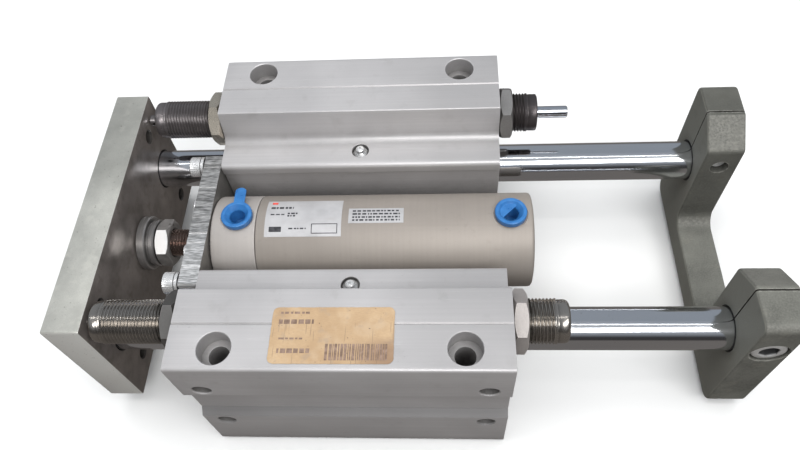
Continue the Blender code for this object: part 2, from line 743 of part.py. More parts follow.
def build_piston(parent, metals):
    chrome, black, aluminium, rubber, resin = metals
    face = 0.1046
    hub = 0.0060
    profile = [
        (0.1312, 0),
        (0.1312, hub),
        (face - GAP, hub),
        (face - GAP, PISTON_ROD_RADIUS),
        (-0.0100, PISTON_ROD_RADIUS),
        (-0.0112, THREAD_RADIUS),
        (ROD_TIP_X, THREAD_RADIUS),
        (ROD_TIP_X, 0),
    ]
    rod = add(turned("piston_rod", profile, FINE), parent=parent)
    finish(rod, "piston_rod", chrome)
    low = 0.0195
    profile = [
        (face, hub + GAP),
        (face, low),
        (0.1100, low),
        (0.1100, 0.0165),
        (0.1150, 0.0165),
        (0.1150, low),
        (0.1200, low),
        (0.1200, 0.0180),
        (0.1260, 0.0180),
        (0.1260, low),
        (0.1319, low),
        (0.1319, hub + GAP),
    ]
    piston = add(turned("piston", profile, FINE), parent=parent)
    finish(piston, "piston", aluminium)
    ring("piston_seal", 0.1103, 0.1147, 0.0168, BORE_RADIUS - RUNNING, parent, rubber)
    ring("wear_ring", 0.1203, 0.1257, 0.0183, BORE_RADIUS - RUNNING, parent, resin)

    # End bracket: a disc against the front plate, and a smaller collar behind it, screwed onto the rod.
    bracket_end = -0.0330
    profile = [
        (-FRONT_GAP + GAP, 0.0040 + GAP),
        (-FRONT_GAP + GAP, 0.0140),
        (-0.0369, 0.0140),
        (-0.0369, 0.0108),
        (-0.0358, 0.0108),
        (-0.0358, 0.0120),
        (bracket_end, 0.0120),
        (bracket_end, THREAD_RADIUS + GAP),
        (ROD_TIP_X - GAP, THREAD_RADIUS + GAP),
        (ROD_TIP_X - GAP, 0.0040 + GAP),
    ]
    bracket = add(turned("end_bracket", profile, MEDIUM), parent=parent)
    finish(bracket, "end_bracket", black)
    start = bracket_end + GAP
    nut = build_nut(0.0210, 0.0070, THREAD_RADIUS + GAP, 0.0107, "X", (start, 0, 0), parent)
    finish(nut, "rod_nut", chrome)


def build():
    clear_scene()
    anodised = make_material("anodised", (0.60, 0.60, 0.58), 1.0, 0.42)
    barrel = make_material("barrel", (0.52, 0.48, 0.44), 1.0, 0.36)
    cover = make_material("cover", (0.58, 0.55, 0.51), 1.0, 0.34)
    steel = make_material("steel", (0.42, 0.42, 0.38), 1.0, 0.38)
    cast = make_material("cast", (0.12, 0.12, 0.10), 0.6, 0.50)
    chrome = make_material("chrome", (0.74, 0.76, 0.80), 1.0, 0.06)
    nickel = make_material("nickel", (0.70, 0.68, 0.63), 1.0, 0.18)
    gunmetal = make_material("gunmetal", (0.12, 0.11, 0.11), 0.9, 0.32)
    zinc = make_material("zinc", (0.72, 0.72, 0.74), 1.0, 0.22)
    blackened = make_material("blackened", (0.06, 0.055, 0.05), 0.9, 0.35)
    brass = make_material("brass", (0.62, 0.45, 0.20), 1.0, 0.30)
    rubber = make_material("rubber", (0.03, 0.03, 0.03), 0.0, 0.60)
    resin = make_material("resin", (0.55, 0.46, 0.30), 0.0, 0.50)
    bearing = make_material("bearing", (0.45, 0.45, 0.46), 1.0, 0.30)
    blue = make_material("blue", (0.02, 0.15, 0.62), 0.0, 0.35)

    fixed = add_frame("fixed_frame", (DATUM_X, 0, DATUM_Z))
    slide = add_frame("slide_frame", (DATUM_X, 0, DATUM_Z))

    build_guide_body(fixed, anodised)
    build_flange(fixed, steel, zinc)
    build_cylinder(fixed, barrel, cover, brass, rubber)
    build_bearings(fixed, bearing, rubber, zinc)
    for name, side, end, reach, plunger_out, corner, twist in ABSORBERS:
        metals = (gunmetal, gunmetal, chrome) if side > 0 else (nickel, nickel, chrome)
        build_absorber(name, side, end, reach, plunger_out, corner, twist, fixed, metals)
    build_plug("port_plug_front", FRONT_PORT_X, True, fixed, blue)
    build_plug("port_plug_rear", REAR_PORT_X, False, fixed, blue)
    build_front_plate(slide, steel, zinc)
    build_rear_plate(slide, cast, zinc)
    build_guide_rods(slide, chrome)
    build_piston(slide, (chrome, blackened, anodised, rubber, resin))


build()
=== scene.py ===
"""The looks of the guided pneumatic cylinder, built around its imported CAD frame.

Lengths are metres. Shapes are built in the datum frame: x runs back from the front face of the guide body,
and y and z are measured from the cylinder's axis. Most positions are read from the CAD nodes' boxes.
"""

import json
import math
import random

import bmesh
import bpy
from mathutils import Matrix, Vector, noise


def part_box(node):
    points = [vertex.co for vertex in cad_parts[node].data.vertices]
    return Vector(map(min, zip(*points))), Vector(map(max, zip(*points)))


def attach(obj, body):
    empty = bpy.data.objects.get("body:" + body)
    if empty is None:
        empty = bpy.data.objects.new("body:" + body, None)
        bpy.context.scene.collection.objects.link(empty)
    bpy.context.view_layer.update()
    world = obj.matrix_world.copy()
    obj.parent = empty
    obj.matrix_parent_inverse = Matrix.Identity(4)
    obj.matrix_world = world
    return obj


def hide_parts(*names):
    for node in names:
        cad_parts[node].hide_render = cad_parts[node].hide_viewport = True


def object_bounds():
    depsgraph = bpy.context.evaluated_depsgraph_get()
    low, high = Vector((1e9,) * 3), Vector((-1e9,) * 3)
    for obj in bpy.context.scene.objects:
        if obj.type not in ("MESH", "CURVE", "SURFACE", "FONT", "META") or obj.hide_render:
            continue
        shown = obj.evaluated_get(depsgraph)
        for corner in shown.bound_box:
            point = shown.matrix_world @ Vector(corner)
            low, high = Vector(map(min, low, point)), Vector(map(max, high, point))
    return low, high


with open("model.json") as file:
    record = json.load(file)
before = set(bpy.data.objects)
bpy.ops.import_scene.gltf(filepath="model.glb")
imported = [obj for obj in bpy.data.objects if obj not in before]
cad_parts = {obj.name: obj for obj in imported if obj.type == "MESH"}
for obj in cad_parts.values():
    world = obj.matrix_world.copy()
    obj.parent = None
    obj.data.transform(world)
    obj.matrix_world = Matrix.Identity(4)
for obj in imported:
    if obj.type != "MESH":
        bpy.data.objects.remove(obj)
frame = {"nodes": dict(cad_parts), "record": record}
cad_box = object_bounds()

DATUM = Vector((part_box("guide_body")[0].x, 0, (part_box("cylinder_tube")[0].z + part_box("cylinder_tube")[1].z) / 2))
GAP = 0.0003
ROUND = 96
SMALL_ROUND = 48
MM = 0.001
# The bevel profile of a plain quarter circle. Blender's own default cuts a notch.
QUARTER_ROUND = 0.5
SIDES = ((-1, "near"), (1, "far"))
rng = random.Random(7)


def span(node):
    """A CAD node's lowest and highest corner in the datum frame."""
    low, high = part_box(node)
    return low - DATUM, high - DATUM


def middle(node):
    low, high = span(node)
    return (low + high) / 2


# ---------------------------------------------------------------- mesh helpers

ALONG = {
    "X": Matrix.Identity(4),
    "Y": Matrix.Rotation(math.radians(90), 4, "Z"),
    "-Y": Matrix.Rotation(math.radians(-90), 4, "Z"),
    "Z": Matrix.Rotation(math.radians(-90), 4, "Y"),
    "-X": Matrix.Rotation(math.radians(180), 4, "Z"),
}


def mesh_from(bm, name, axis="X"):
    bmesh.ops.transform(bm, matrix=ALONG[axis], verts=bm.verts)
    bmesh.ops.recalc_face_normals(bm, faces=bm.faces)
    mesh = bpy.data.meshes.new(name)
    bm.to_mesh(mesh)
    bm.free()
    return mesh


def place(mesh, at=(0, 0, 0)):
    """An object from the mesh, at a point of the datum frame."""
    obj = bpy.data.objects.new(mesh.name, mesh)
    bpy.context.scene.collection.objects.link(obj)
    obj.location = DATUM + Vector(at)
    return obj


def thread_wave(turns):
    """From 0 in the root of a thread to 1 on its crest, at a number of turns along it."""
    tri = abs(2 * (turns % 1.0) - 1)
    return min(1.0, max(0.0, 1.35 * tri - 0.2))


def turn(name, profile, steps=ROUND, axis="X", thread=None, knurl=None):
    """A turned solid from (x, radius) points. A profile that starts off the axis closes into a ring.

    thread is (start, end, pitch, depth) and knurl is (start, end, teeth, depth): they shape the stretches
    of the profile that lie between start and end.
    """
    points = []
    for (x0, r0), (x1, r1) in zip(profile, profile[1:]):
        points.append((x0, r0))
        if thread and r0 > 0 and r0 == r1 and min(x0, x1) >= thread[0] - 1e-7 and max(x0, x1) <= thread[1] + 1e-7:
            rows = max(2, round(abs(x1 - x0) / thread[2] * 7))
            points += [(x0 + (x1 - x0) * row / rows, r0) for row in range(1, rows)]
    points.append(profile[-1])
    bm = bmesh.new()
    rings = []
    for x, radius in points:
        if radius == 0:
            rings.append([bm.verts.new((x, 0, 0))])
            continue
        ring = []
        for step in range(steps):
            angle = 2 * math.pi * (step + 0.5) / steps
            here = radius
            if thread and thread[0] < x < thread[1]:
                fade = min(1.0, (x - thread[0]) / thread[2], (thread[1] - x) / thread[2])
                here -= thread[3] * fade * (1 - thread_wave(x / thread[2] - angle / (2 * math.pi)))
            if knurl and knurl[0] < x < knurl[1]:
                here -= knurl[3] * (0.5 + 0.5 * math.cos(knurl[2] * angle))
            ring.append(bm.verts.new((x, here * math.cos(angle), here * math.sin(angle))))
        rings.append(ring)
    pairs = list(zip(rings, rings[1:]))
    if profile[0][1] > 0:
        pairs.append((rings[-1], rings[0]))
    for first, second in pairs:
        for step in range(steps):
            after = (step + 1) % steps
            corners = [first[step % len(first)]]
            if len(first) > 1:
                corners.append(first[after])
            if len(second) > 1:
                corners.append(second[after])
            corners.append(second[step % len(second)])
            bm.faces.new(corners)
    return mesh_from(bm, name, axis)


def rounded(corners, steps=4):
    """An outline from (y, z, radius) corners, each with its radius turned into a short arc."""
    outline = []
    count = len(corners)
    for index, (y, z, radius) in enumerate(corners):
        here = Vector((y, z))
        if not radius:
            outline.append((y, z))
            continue
        before = (Vector(corners[index - 1][:2]) - here).normalized()
        after = (Vector(corners[(index + 1) % count][:2]) - here).normalized()
        half = before.angle(after) / 2
        reach = radius / math.tan(half)
        centre = here + (before + after).normalized() * radius / math.sin(half)
        start = here + before * reach - centre
        turn_by = (here + after * reach - centre).angle_signed(start)
        for step in range(steps + 1):
            share = -turn_by * step / steps
            point = centre + Matrix.Rotation(-share, 2) @ start
            outline.append((point.x, point.y))
    return outline


def extrude(name, outline, length, axis="X", edge=0.0, segments=2):
    """A solid with the (y, z) outline, from 0 to length, with its end edges rounded off."""
    bm = bmesh.new()
    near = [bm.verts.new((0, y, z)) for y, z in outline]
    far = [bm.verts.new((length, y, z)) for y, z in outline]
    bm.faces.new(near)
    bm.faces.new(far)
    count = len(outline)
    for index in range(count):
        after = (index + 1) % count
        bm.faces.new((near[index], near[after], far[after], far[index]))
    bmesh.ops.recalc_face_normals(bm, faces=bm.faces)
    if edge:
        ends = [e for e in bm.edges if abs(e.verts[0].co.x - e.verts[1].co.x) < 1e-7]
        bmesh.ops.bevel(bm, geom=ends, offset=edge, segments=segments, profile=QUARTER_ROUND, affect="EDGES",
                        clamp_overlap=True)
    return mesh_from(bm, name, axis)


def drill(start, end, radius, at, axis="X", steps=SMALL_ROUND, mouth=0.0, through=False, thread=None):
    """A drill from start to end along the axis, with a chamfer of the mouth's size where it enters and leaves."""
    sense = 1 if end > start else -1
    over = sense * MM
    profile = [(start - over, 0), (start - over, radius + mouth)]
    if mouth:
        profile += [(start, radius + mouth), (start + sense * mouth, radius)]
    if through and mouth:
        profile += [(end - sense * mouth, radius), (end, radius + mouth)]
    profile += [(end + over, radius + mouth), (end + over, 0)] if through else [(end, radius), (end, 0)]
    return place(turn("drill", profile, steps, axis, thread), at)


def counterbore(mouth, shoulder, end, wide, narrow, at, axis, steps=SMALL_ROUND, edge=0.0003, through=True):
    sense = 1 if end > mouth else -1
    over = sense * MM
    far = end + over if through else end
    profile = [(mouth - over, 0), (mouth - over, wide + edge), (mouth, wide + edge)]
    profile += [(mouth + sense * edge, wide), (shoulder, wide), (shoulder, narrow), (far, narrow), (far, 0)]
    return place(turn("drill", profile, steps, axis), at)


def combine(obj, tools, operation="DIFFERENCE"):
    """Cuts the tools from the object, joins them to it or keeps what they share, and removes them."""
    for tool in tools:
        modifier = obj.modifiers.new(operation.title(), "BOOLEAN")
        modifier.operation = operation
        modifier.solver = "EXACT"
        modifier.object = tool
    bpy.context.view_layer.update()
    graph = bpy.context.evaluated_depsgraph_get()
    result = bpy.data.meshes.new_from_object(obj.evaluated_get(graph))
    obj.modifiers.clear()
    obj.data = result
    for tool in tools:
        bpy.data.objects.remove(tool, do_unlink=True)
    return obj


def finish_piece(obj, name, body, slot, nodes=(), material=None, sharp=32):
    """Names the piece, smooths it, gives it its body and its slot's material, and hides the CAD nodes it stands for."""
    obj.name = name
    obj.data.name = name
    obj.data.materials.clear()
    obj.data.materials.append(material or MATERIALS[slot])
    obj.data.shade_smooth()
    obj.data.set_sharp_from_angle(angle=math.radians(sharp))
    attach(obj, body)
    if nodes:
        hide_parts(*nodes)
    return obj


def arc(centre_y, centre_z, radius, start, end, count):
    """Points along a circle from one angle to another, in degrees."""
    points = []
    for index in range(count):
        angle = math.radians(start + (end - start) * index / (count - 1))
        points.append((centre_y + radius * math.cos(angle), centre_z + radius * math.sin(angle)))
    return points


# ---------------------------------------------------------------- material helpers


class Recipe:
    """Builds one procedural material. Its coordinates are those of the object, in millimetres."""

    def __init__(self, name):
        self.material = bpy.data.materials.new(name)
        self.material.use_nodes = True
        self.tree = self.material.node_tree
        self.shader = self.tree.nodes["Principled BSDF"]
        self.coordinates = self.add("ShaderNodeTexCoord").outputs["Object"]
        self.geometry = self.add("ShaderNodeNewGeometry")
        self.normal = None

    def add(self, kind, links=None, **values):
        node = self.tree.nodes.new(kind)
        for key, value in values.items():
            if key in node.inputs:
                node.inputs[key].default_value = value
            else:
                setattr(node, key, value)
        for key, value in (links or {}).items():
            self.tree.links.new(value, node.inputs[key])
        return node

    def noise(self, size, detail=3.0, stretch=(1, 1, 1), roughness=0.55):
        """Noise whose features are about size millimetres across, longer along the stretched axes."""
        scale = [1000 / size / s for s in stretch]
        mapping = self.add("ShaderNodeMapping", {"Vector": self.coordinates}, Scale=scale)
        texture = self.add("ShaderNodeTexNoise", {"Vector": mapping.outputs[0]}, Scale=1.0, Detail=detail)
        texture.inputs["Roughness"].default_value = roughness
        return texture.outputs["Fac"]

    def cells(self, size, stretch=(1, 1, 1)):
        scale = [1000 / size / s for s in stretch]
        mapping = self.add("ShaderNodeMapping", {"Vector": self.coordinates}, Scale=scale)
        return self.add("ShaderNodeTexVoronoi", {"Vector": mapping.outputs[0]}, Scale=1.0).outputs["Distance"]

    def band(self, value, low, high, out_low=0.0, out_high=1.0):
        """Maps low..high of a value onto out_low..out_high, held at both ends."""
        node = self.add("ShaderNodeMapRange", {"Value": value})
        for key, number in (("From Min", low), ("From Max", high), ("To Min", out_low), ("To Max", out_high)):
            node.inputs[key].default_value = number
        return node.outputs["Result"]

    def maths(self, operation, first, second):
        node = self.add("ShaderNodeMath", operation=operation)
        for socket, value in zip(node.inputs, (first, second)):
            if isinstance(value, (int, float)):
                socket.default_value = value
            else:
                self.tree.links.new(value, socket)
        return node.outputs[0]

    def mix(self, share, first, second, blend="MIX"):
        """Mixes two colours, each a triple or a socket."""
        node = self.add("ShaderNodeMix", data_type="RGBA", blend_type=blend)
        for key, value in ((0, share), (6, first), (7, second)):
            if isinstance(value, (int, float)):
                node.inputs[key].default_value = value
            elif isinstance(value, tuple):
                node.inputs[key].default_value = (*value, 1.0)
            else:
                self.tree.links.new(value, node.inputs[key])
        return node.outputs[2]

    def bump(self, height, millimetres, strength=1.0, invert=False):
        node = self.add("ShaderNodeBump", {"Height": height}, Distance=millimetres * MM, Strength=strength)
        node.invert = invert
        if self.normal:
            self.tree.links.new(self.normal, node.inputs["Normal"])
        self.normal = node.outputs["Normal"]

    def edges(self, radius=0.5, low=0.01, high=0.12):
        """1 on convex and concave edges, within about the radius in millimetres."""
        smooth = self.add("ShaderNodeBevel", Radius=radius * MM, samples=4)
        dot = self.add("ShaderNodeVectorMath", operation="DOT_PRODUCT")
        self.tree.links.new(smooth.outputs[0], dot.inputs[0])
        self.tree.links.new(self.geometry.outputs["Normal"], dot.inputs[1])
        return self.band(self.maths("SUBTRACT", 1.0, dot.outputs["Value"]), low, high)

    def part(self, vector, axis, size=False):
        """One part of a vector: 0, 1 or 2 for x, y or z; its size without its sign if asked."""
        split = self.add("ShaderNodeSeparateXYZ", {"Vector": vector})
        return self.maths("ABSOLUTE", split.outputs[axis], 0.0) if size else split.outputs[axis]

    def product(self, *values):
        result = values[0]
        for value in values[1:]:
            result = self.maths("MULTIPLY", result, value)
        return result

    def facing(self, axis, low, high):
        """0 to 1 as the surface turns to face along an axis of the object: 0, 1 or 2 for x, y or z."""
        split = self.add("ShaderNodeSeparateXYZ", {"Vector": self.geometry.outputs["Normal"]})
        return self.band(split.outputs[axis], low, high)

    def corner_shade(self, distance, low=0.35, high=0.95):
        """1 deep in corners, 0 in the open: the mask for painted shade in corners."""
        occlusion = self.add("ShaderNodeAmbientOcclusion", Distance=distance * MM, samples=4)
        return self.band(occlusion.outputs["AO"], high, low)

    def done(self, colour, metallic, roughness):
        for key, value in (("Base Color", colour), ("Metallic", metallic), ("Roughness", roughness)):
            if isinstance(value, tuple):
                self.shader.inputs[key].default_value = (*value, 1.0)
            elif isinstance(value, (int, float)):
                self.shader.inputs[key].default_value = value
            else:
                self.tree.links.new(value, self.shader.inputs[key])
        if self.normal:
            self.tree.links.new(self.normal, self.shader.inputs["Normal"])
        return self.material


def tint(colour, factor):
    return tuple(channel * factor for channel in colour)


def metal(name, colour, metallic, roughness, grain=(1, 1, 1), grain_size=0.4, depth=0.004, mottle=0.10,
          wear=0.0, corner_shade=0.0, scratches=0.0):
    """A worked metal: blotches, grain along the stretched axes, worn edges, painted shade in corners and scratches."""
    r = Recipe(name)
    cloud = r.noise(22, 3.0)
    grain_noise = r.noise(grain_size, 2.0, grain)
    base = r.mix(r.band(cloud, 0.3, 0.7), tint(colour, 1 - mottle), tint(colour, 1 + mottle))
    base = r.mix(r.band(grain_noise, 0.35, 0.65, 0.0, 0.5), base, tint(colour, 1 - 1.6 * mottle))
    rough = r.maths("ADD", r.band(grain_noise, 0.3, 0.7, -0.06, 0.06), r.band(cloud, 0.3, 0.7, roughness - 0.05,
                                                                             roughness + 0.05))
    if scratches:
        line = r.band(r.noise(0.35, 1.0, (60, 1, 1)), 0.66, 0.70)
        gate = r.maths("MULTIPLY", line, r.band(r.noise(14, 2.0), 0.5, 0.62))
        base = r.mix(r.maths("MULTIPLY", gate, scratches), base, tint(colour, 1.35))
    if wear:
        worn = r.maths("MULTIPLY", r.edges(0.5), r.band(r.noise(3, 3.0), 0.3, 0.6, 0.35, 1.0))
        base = r.mix(r.maths("MULTIPLY", worn, wear), base, tuple(min(1.0, c * 1.45 + 0.04) for c in colour))
    # Painted shade: darker deep in corners, where less light reaches.
    if corner_shade:
        painted_corner_shade = r.maths("MULTIPLY", r.corner_shade(5), r.band(r.noise(4, 3.0), 0.3, 0.6, 0.5, 1.0))
        base = r.mix(r.maths("MULTIPLY", painted_corner_shade, corner_shade), base, tuple(c * 0.25 for c in (0.16, 0.14, 0.12)))
    r.bump(grain_noise, depth)
    return r.done(base, metallic, rough)


# ---------------------------------------------------------------- materials


def anodised_material():
    """Clear-anodised extrusion: satin grey with die lines along X, specks, rubbed edges and grey smudges. Painted shade
    darkens its hollow corners, the insides of the tapped side holes, the ledge under each side's overhang and the tops
    towards the back end.
    """
    r = Recipe("anodised_satin")
    colour = (0.565, 0.550, 0.548)
    cloud = r.noise(30, 3.0)
    die_lines = r.noise(0.9, 2.0, (120, 1, 1))
    grain = r.noise(0.22, 2.0, (2, 1, 1))
    base = r.mix(r.band(cloud, 0.3, 0.7), tint(colour, 0.94), tint(colour, 1.05))
    base = r.mix(r.band(die_lines, 0.35, 0.65, 0.0, 0.35), base, tint(colour, 0.86))
    specks = r.band(r.noise(0.9, 1.0), 0.74, 0.80)
    base = r.mix(r.maths("MULTIPLY", specks, 0.35), base, tint(colour, 0.55))
    smudge = r.maths("MULTIPLY", r.band(r.noise(9, 4.0), 0.60, 0.76), 0.16)
    base = r.mix(smudge, base, (0.25, 0.235, 0.215))
    scrape = r.band(r.noise(0.30, 1.0, (50, 1.6, 1)), 0.69, 0.73)
    scrape = r.maths("MULTIPLY", scrape, r.band(r.noise(11, 2.0), 0.55, 0.66))
    base = r.mix(r.maths("MULTIPLY", scrape, 0.35), base, (0.80, 0.80, 0.79))
    worn = r.maths("MULTIPLY", r.edges(0.45), r.band(r.noise(2.5, 3.0), 0.25, 0.6, 0.35, 1.0))
    base = r.mix(r.maths("MULTIPLY", worn, 0.75), base, (0.86, 0.86, 0.85))
    # Painted shade: darker deep in hollow corners.
    painted_corner_shade = r.maths("MULTIPLY", r.corner_shade(9), r.band(r.noise(5, 3.0), 0.3, 0.6, 0.75, 1.0))
    base = r.mix(r.maths("MULTIPLY", painted_corner_shade, 0.72), base, (0.09, 0.083, 0.076))
    x, y, z = (r.part(r.coordinates, axis) for axis in range(3))
    out_y = r.maths("ABSOLUTE", y, 0.0)
    from_hole_x = r.maths("ABSOLUTE", r.maths("SUBTRACT", x, 0.0707), 0.0)
    from_hole_x = r.maths("ABSOLUTE", r.maths("SUBTRACT", from_hole_x, 0.0607), 0.0)
    from_hole_z = r.maths("SUBTRACT", r.maths("ABSOLUTE", z, 0.0), 0.0200)
    from_hole_z = r.maths("ABSOLUTE", from_hole_z, 0.0)
    # Painted shade inside the tapped holes in the sides.
    hole_shade = r.product(r.band(from_hole_x, 0.0048, 0.0045), r.band(from_hole_z, 0.0048, 0.0045),
                       r.band(out_y, 0.0858, 0.0852), r.band(out_y, 0.0725, 0.0735))
    base = r.mix(r.maths("MULTIPLY", hole_shade, 0.60), base, (0.15, 0.14, 0.13))
    normal = r.geometry.outputs["Normal"]
    # Painted shade on the ledge under the overhang of each side.
    ledge_shade = r.product(r.band(r.part(normal, 2), 0.15, 0.40), r.band(r.part(normal, 1, True), 0.30, 0.50),
                      r.band(z, 0.010, 0.004), r.band(out_y, 0.070, 0.073))
    base = r.mix(r.maths("MULTIPLY", ledge_shade, 0.75), base, tint(colour, 0.42))
    # Painted shade over the up-facing tops towards the back end.
    back_top_shade = r.product(r.band(x, 0.080, 0.112), r.band(r.part(normal, 2), 0.80, 0.95), r.band(cloud, 0.2, 0.6, 0.7, 1.0))
    base = r.mix(r.maths("MULTIPLY", back_top_shade, 0.30), base, tint(colour, 0.40))
    r.bump(grain, 0.006, 0.6)
    r.bump(die_lines, 0.006, 0.5)
    return r.done(base, 0.48, r.band(cloud, 0.3, 0.7, 0.42, 0.52))


def tube_material(name, colour):
    """Drawn and hard-anodised tube: champagne, with fine grain along its length and faint bands round it."""
    r = Recipe(name)
    cloud = r.noise(18, 3.0, (2.5, 1, 1))
    fine = r.noise(0.18, 2.0, (3, 1, 1))
    rings = r.noise(1.4, 2.0, (1, 40, 40))
    base = r.mix(r.band(cloud, 0.3, 0.7), tint(colour, 0.93), tint(colour, 1.05))
    base = r.mix(r.band(rings, 0.35, 0.65, 0.0, 0.22), base, tint(colour, 0.84))
    stain = r.maths("MULTIPLY", r.band(r.noise(5, 4.0), 0.62, 0.76), 0.22)
    base = r.mix(stain, base, tint(colour, 0.55))
    nicks = r.band(r.noise(0.7, 1.0, (3, 1, 1)), 0.75, 0.79)
    base = r.mix(r.maths("MULTIPLY", nicks, 0.30), base, tint(colour, 0.45))
    worn = r.maths("MULTIPLY", r.edges(0.4), 0.55)
    base = r.mix(worn, base, (0.82, 0.80, 0.77))
    r.bump(fine, 0.004, 0.7)
    r.bump(rings, 0.003, 0.4)
    return r.done(base, 0.34, r.band(cloud, 0.3, 0.7, 0.50, 0.58))


def plate_material():
    """Ground steel plate: its rims are bright greenish grey, and its inner face is browned and painted darker as
    painted shade. Painted shade also darkens the far half of the top rim and the walls of the holes, and painted light
    brightens the faces turned to the near end.
    """
    r = Recipe("ground_steel")
    rim = (0.575, 0.570, 0.520)
    dark = (0.235, 0.208, 0.192)
    cloud = r.noise(16, 4.0)
    grind = r.noise(0.35, 2.0, (1, 1, 45))
    base = r.mix(r.band(cloud, 0.3, 0.7), tint(rim, 0.80), tint(rim, 1.12))
    base = r.mix(r.band(grind, 0.4, 0.65, 0.0, 0.35), base, tint(rim, 0.72))
    pale = r.maths("MULTIPLY", r.band(r.noise(7, 4.0), 0.56, 0.68), 0.6)
    base = r.mix(pale, base, (0.64, 0.63, 0.57))
    # Painted shade: the inner face, turned to +X, takes a dark brown.
    inner = r.mix(r.band(cloud, 0.3, 0.7), tint(dark, 0.75), tint(dark, 1.4))
    inner = r.mix(r.band(r.noise(5, 4.0), 0.5, 0.7, 0.0, 0.5), inner, (0.13, 0.115, 0.10))
    base = r.mix(r.facing(0, 0.85, 0.97), base, inner)
    worn = r.product(r.edges(0.5), r.band(r.noise(3, 3.0), 0.3, 0.6, 0.3, 1.0), r.facing(0, 0.97, 0.85))
    base = r.mix(r.maths("MULTIPLY", worn, 0.8), base, (0.82, 0.82, 0.78))
    # Painted shade: the top rim is darkened over its far half.
    far_rim_shade = r.product(r.band(r.part(r.coordinates, 1), 0.002, 0.022), r.facing(2, 0.80, 0.95))
    base = r.mix(r.maths("MULTIPLY", far_rim_shade, 0.36), base, tint(rim, 0.30))
    # Painted light: the faces turned towards the near end are brightened.
    base = r.mix(r.maths("MULTIPLY", r.facing(1, -0.70, -0.95), 0.85), base, (0.95, 0.95, 0.91))
    pits = r.band(r.noise(1.1, 2.0), 0.68, 0.75)
    base = r.mix(r.maths("MULTIPLY", pits, 0.5), base, (0.10, 0.085, 0.07))
    # Painted shade on the walls of the holes through the plate.
    bore_wall_shade = r.product(r.band(r.part(r.coordinates, 1, True), 0.0665, 0.0655),
                      r.band(r.part(r.coordinates, 2, True), 0.0366, 0.0356),
                      r.band(r.part(r.geometry.outputs["Normal"], 0, True), 0.9, 0.8))
    base = r.mix(r.maths("MULTIPLY", bore_wall_shade, 0.9), base, (0.050, 0.043, 0.040))
    r.bump(grind, 0.008, 0.7)
    r.bump(pits, 0.03, 0.5, True)
    return r.done(base, 0.52, r.band(cloud, 0.3, 0.7, 0.28, 0.42))


def flange_material():
    """Sawn steel edges and a duller face: cut marks cross the thickness. Painted light brightens the edges towards the
    near side and the faces turned to it.
    """
    r = Recipe("sawn_steel")
    cuts = r.maths("ADD", r.maths("MULTIPLY", r.noise(0.45, 2.0, (9, 1, 1)), 0.6),
                   r.maths("MULTIPLY", r.noise(1.3, 3.0, (14, 1, 1)), 0.4))
    cloud = r.noise(12, 3.0)
    base = r.mix(r.band(cuts, 0.42, 0.58), (0.20, 0.196, 0.190), (0.58, 0.57, 0.555))
    # Painted light: the sawn edges grow brighter towards the near side.
    near = r.band(r.part(r.coordinates, 1), 0.006, -0.030)
    lit_near_colour = r.mix(r.band(cuts, 0.42, 0.58), (0.42, 0.415, 0.405), (0.95, 0.94, 0.93))
    base = r.mix(near, base, lit_near_colour)
    face = r.mix(r.band(cloud, 0.3, 0.7), (0.20, 0.19, 0.18), (0.32, 0.31, 0.29))
    split = r.add("ShaderNodeSeparateXYZ", {"Vector": r.geometry.outputs["Normal"]})
    front = r.band(r.maths("ABSOLUTE", split.outputs[0], 0.0), 0.6, 0.9)
    # Painted light on the faces turned towards the near side.
    near_end_light = r.band(split.outputs[1], -0.5, -0.9, 0.0, 0.8)
    base = r.mix(near_end_light, base, (0.92, 0.91, 0.90))
    base = r.mix(front, base, face)
    r.bump(cuts, 0.05, 0.8)
    return r.done(base, 0.70, r.band(cuts, 0.3, 0.7, 0.26, 0.44))


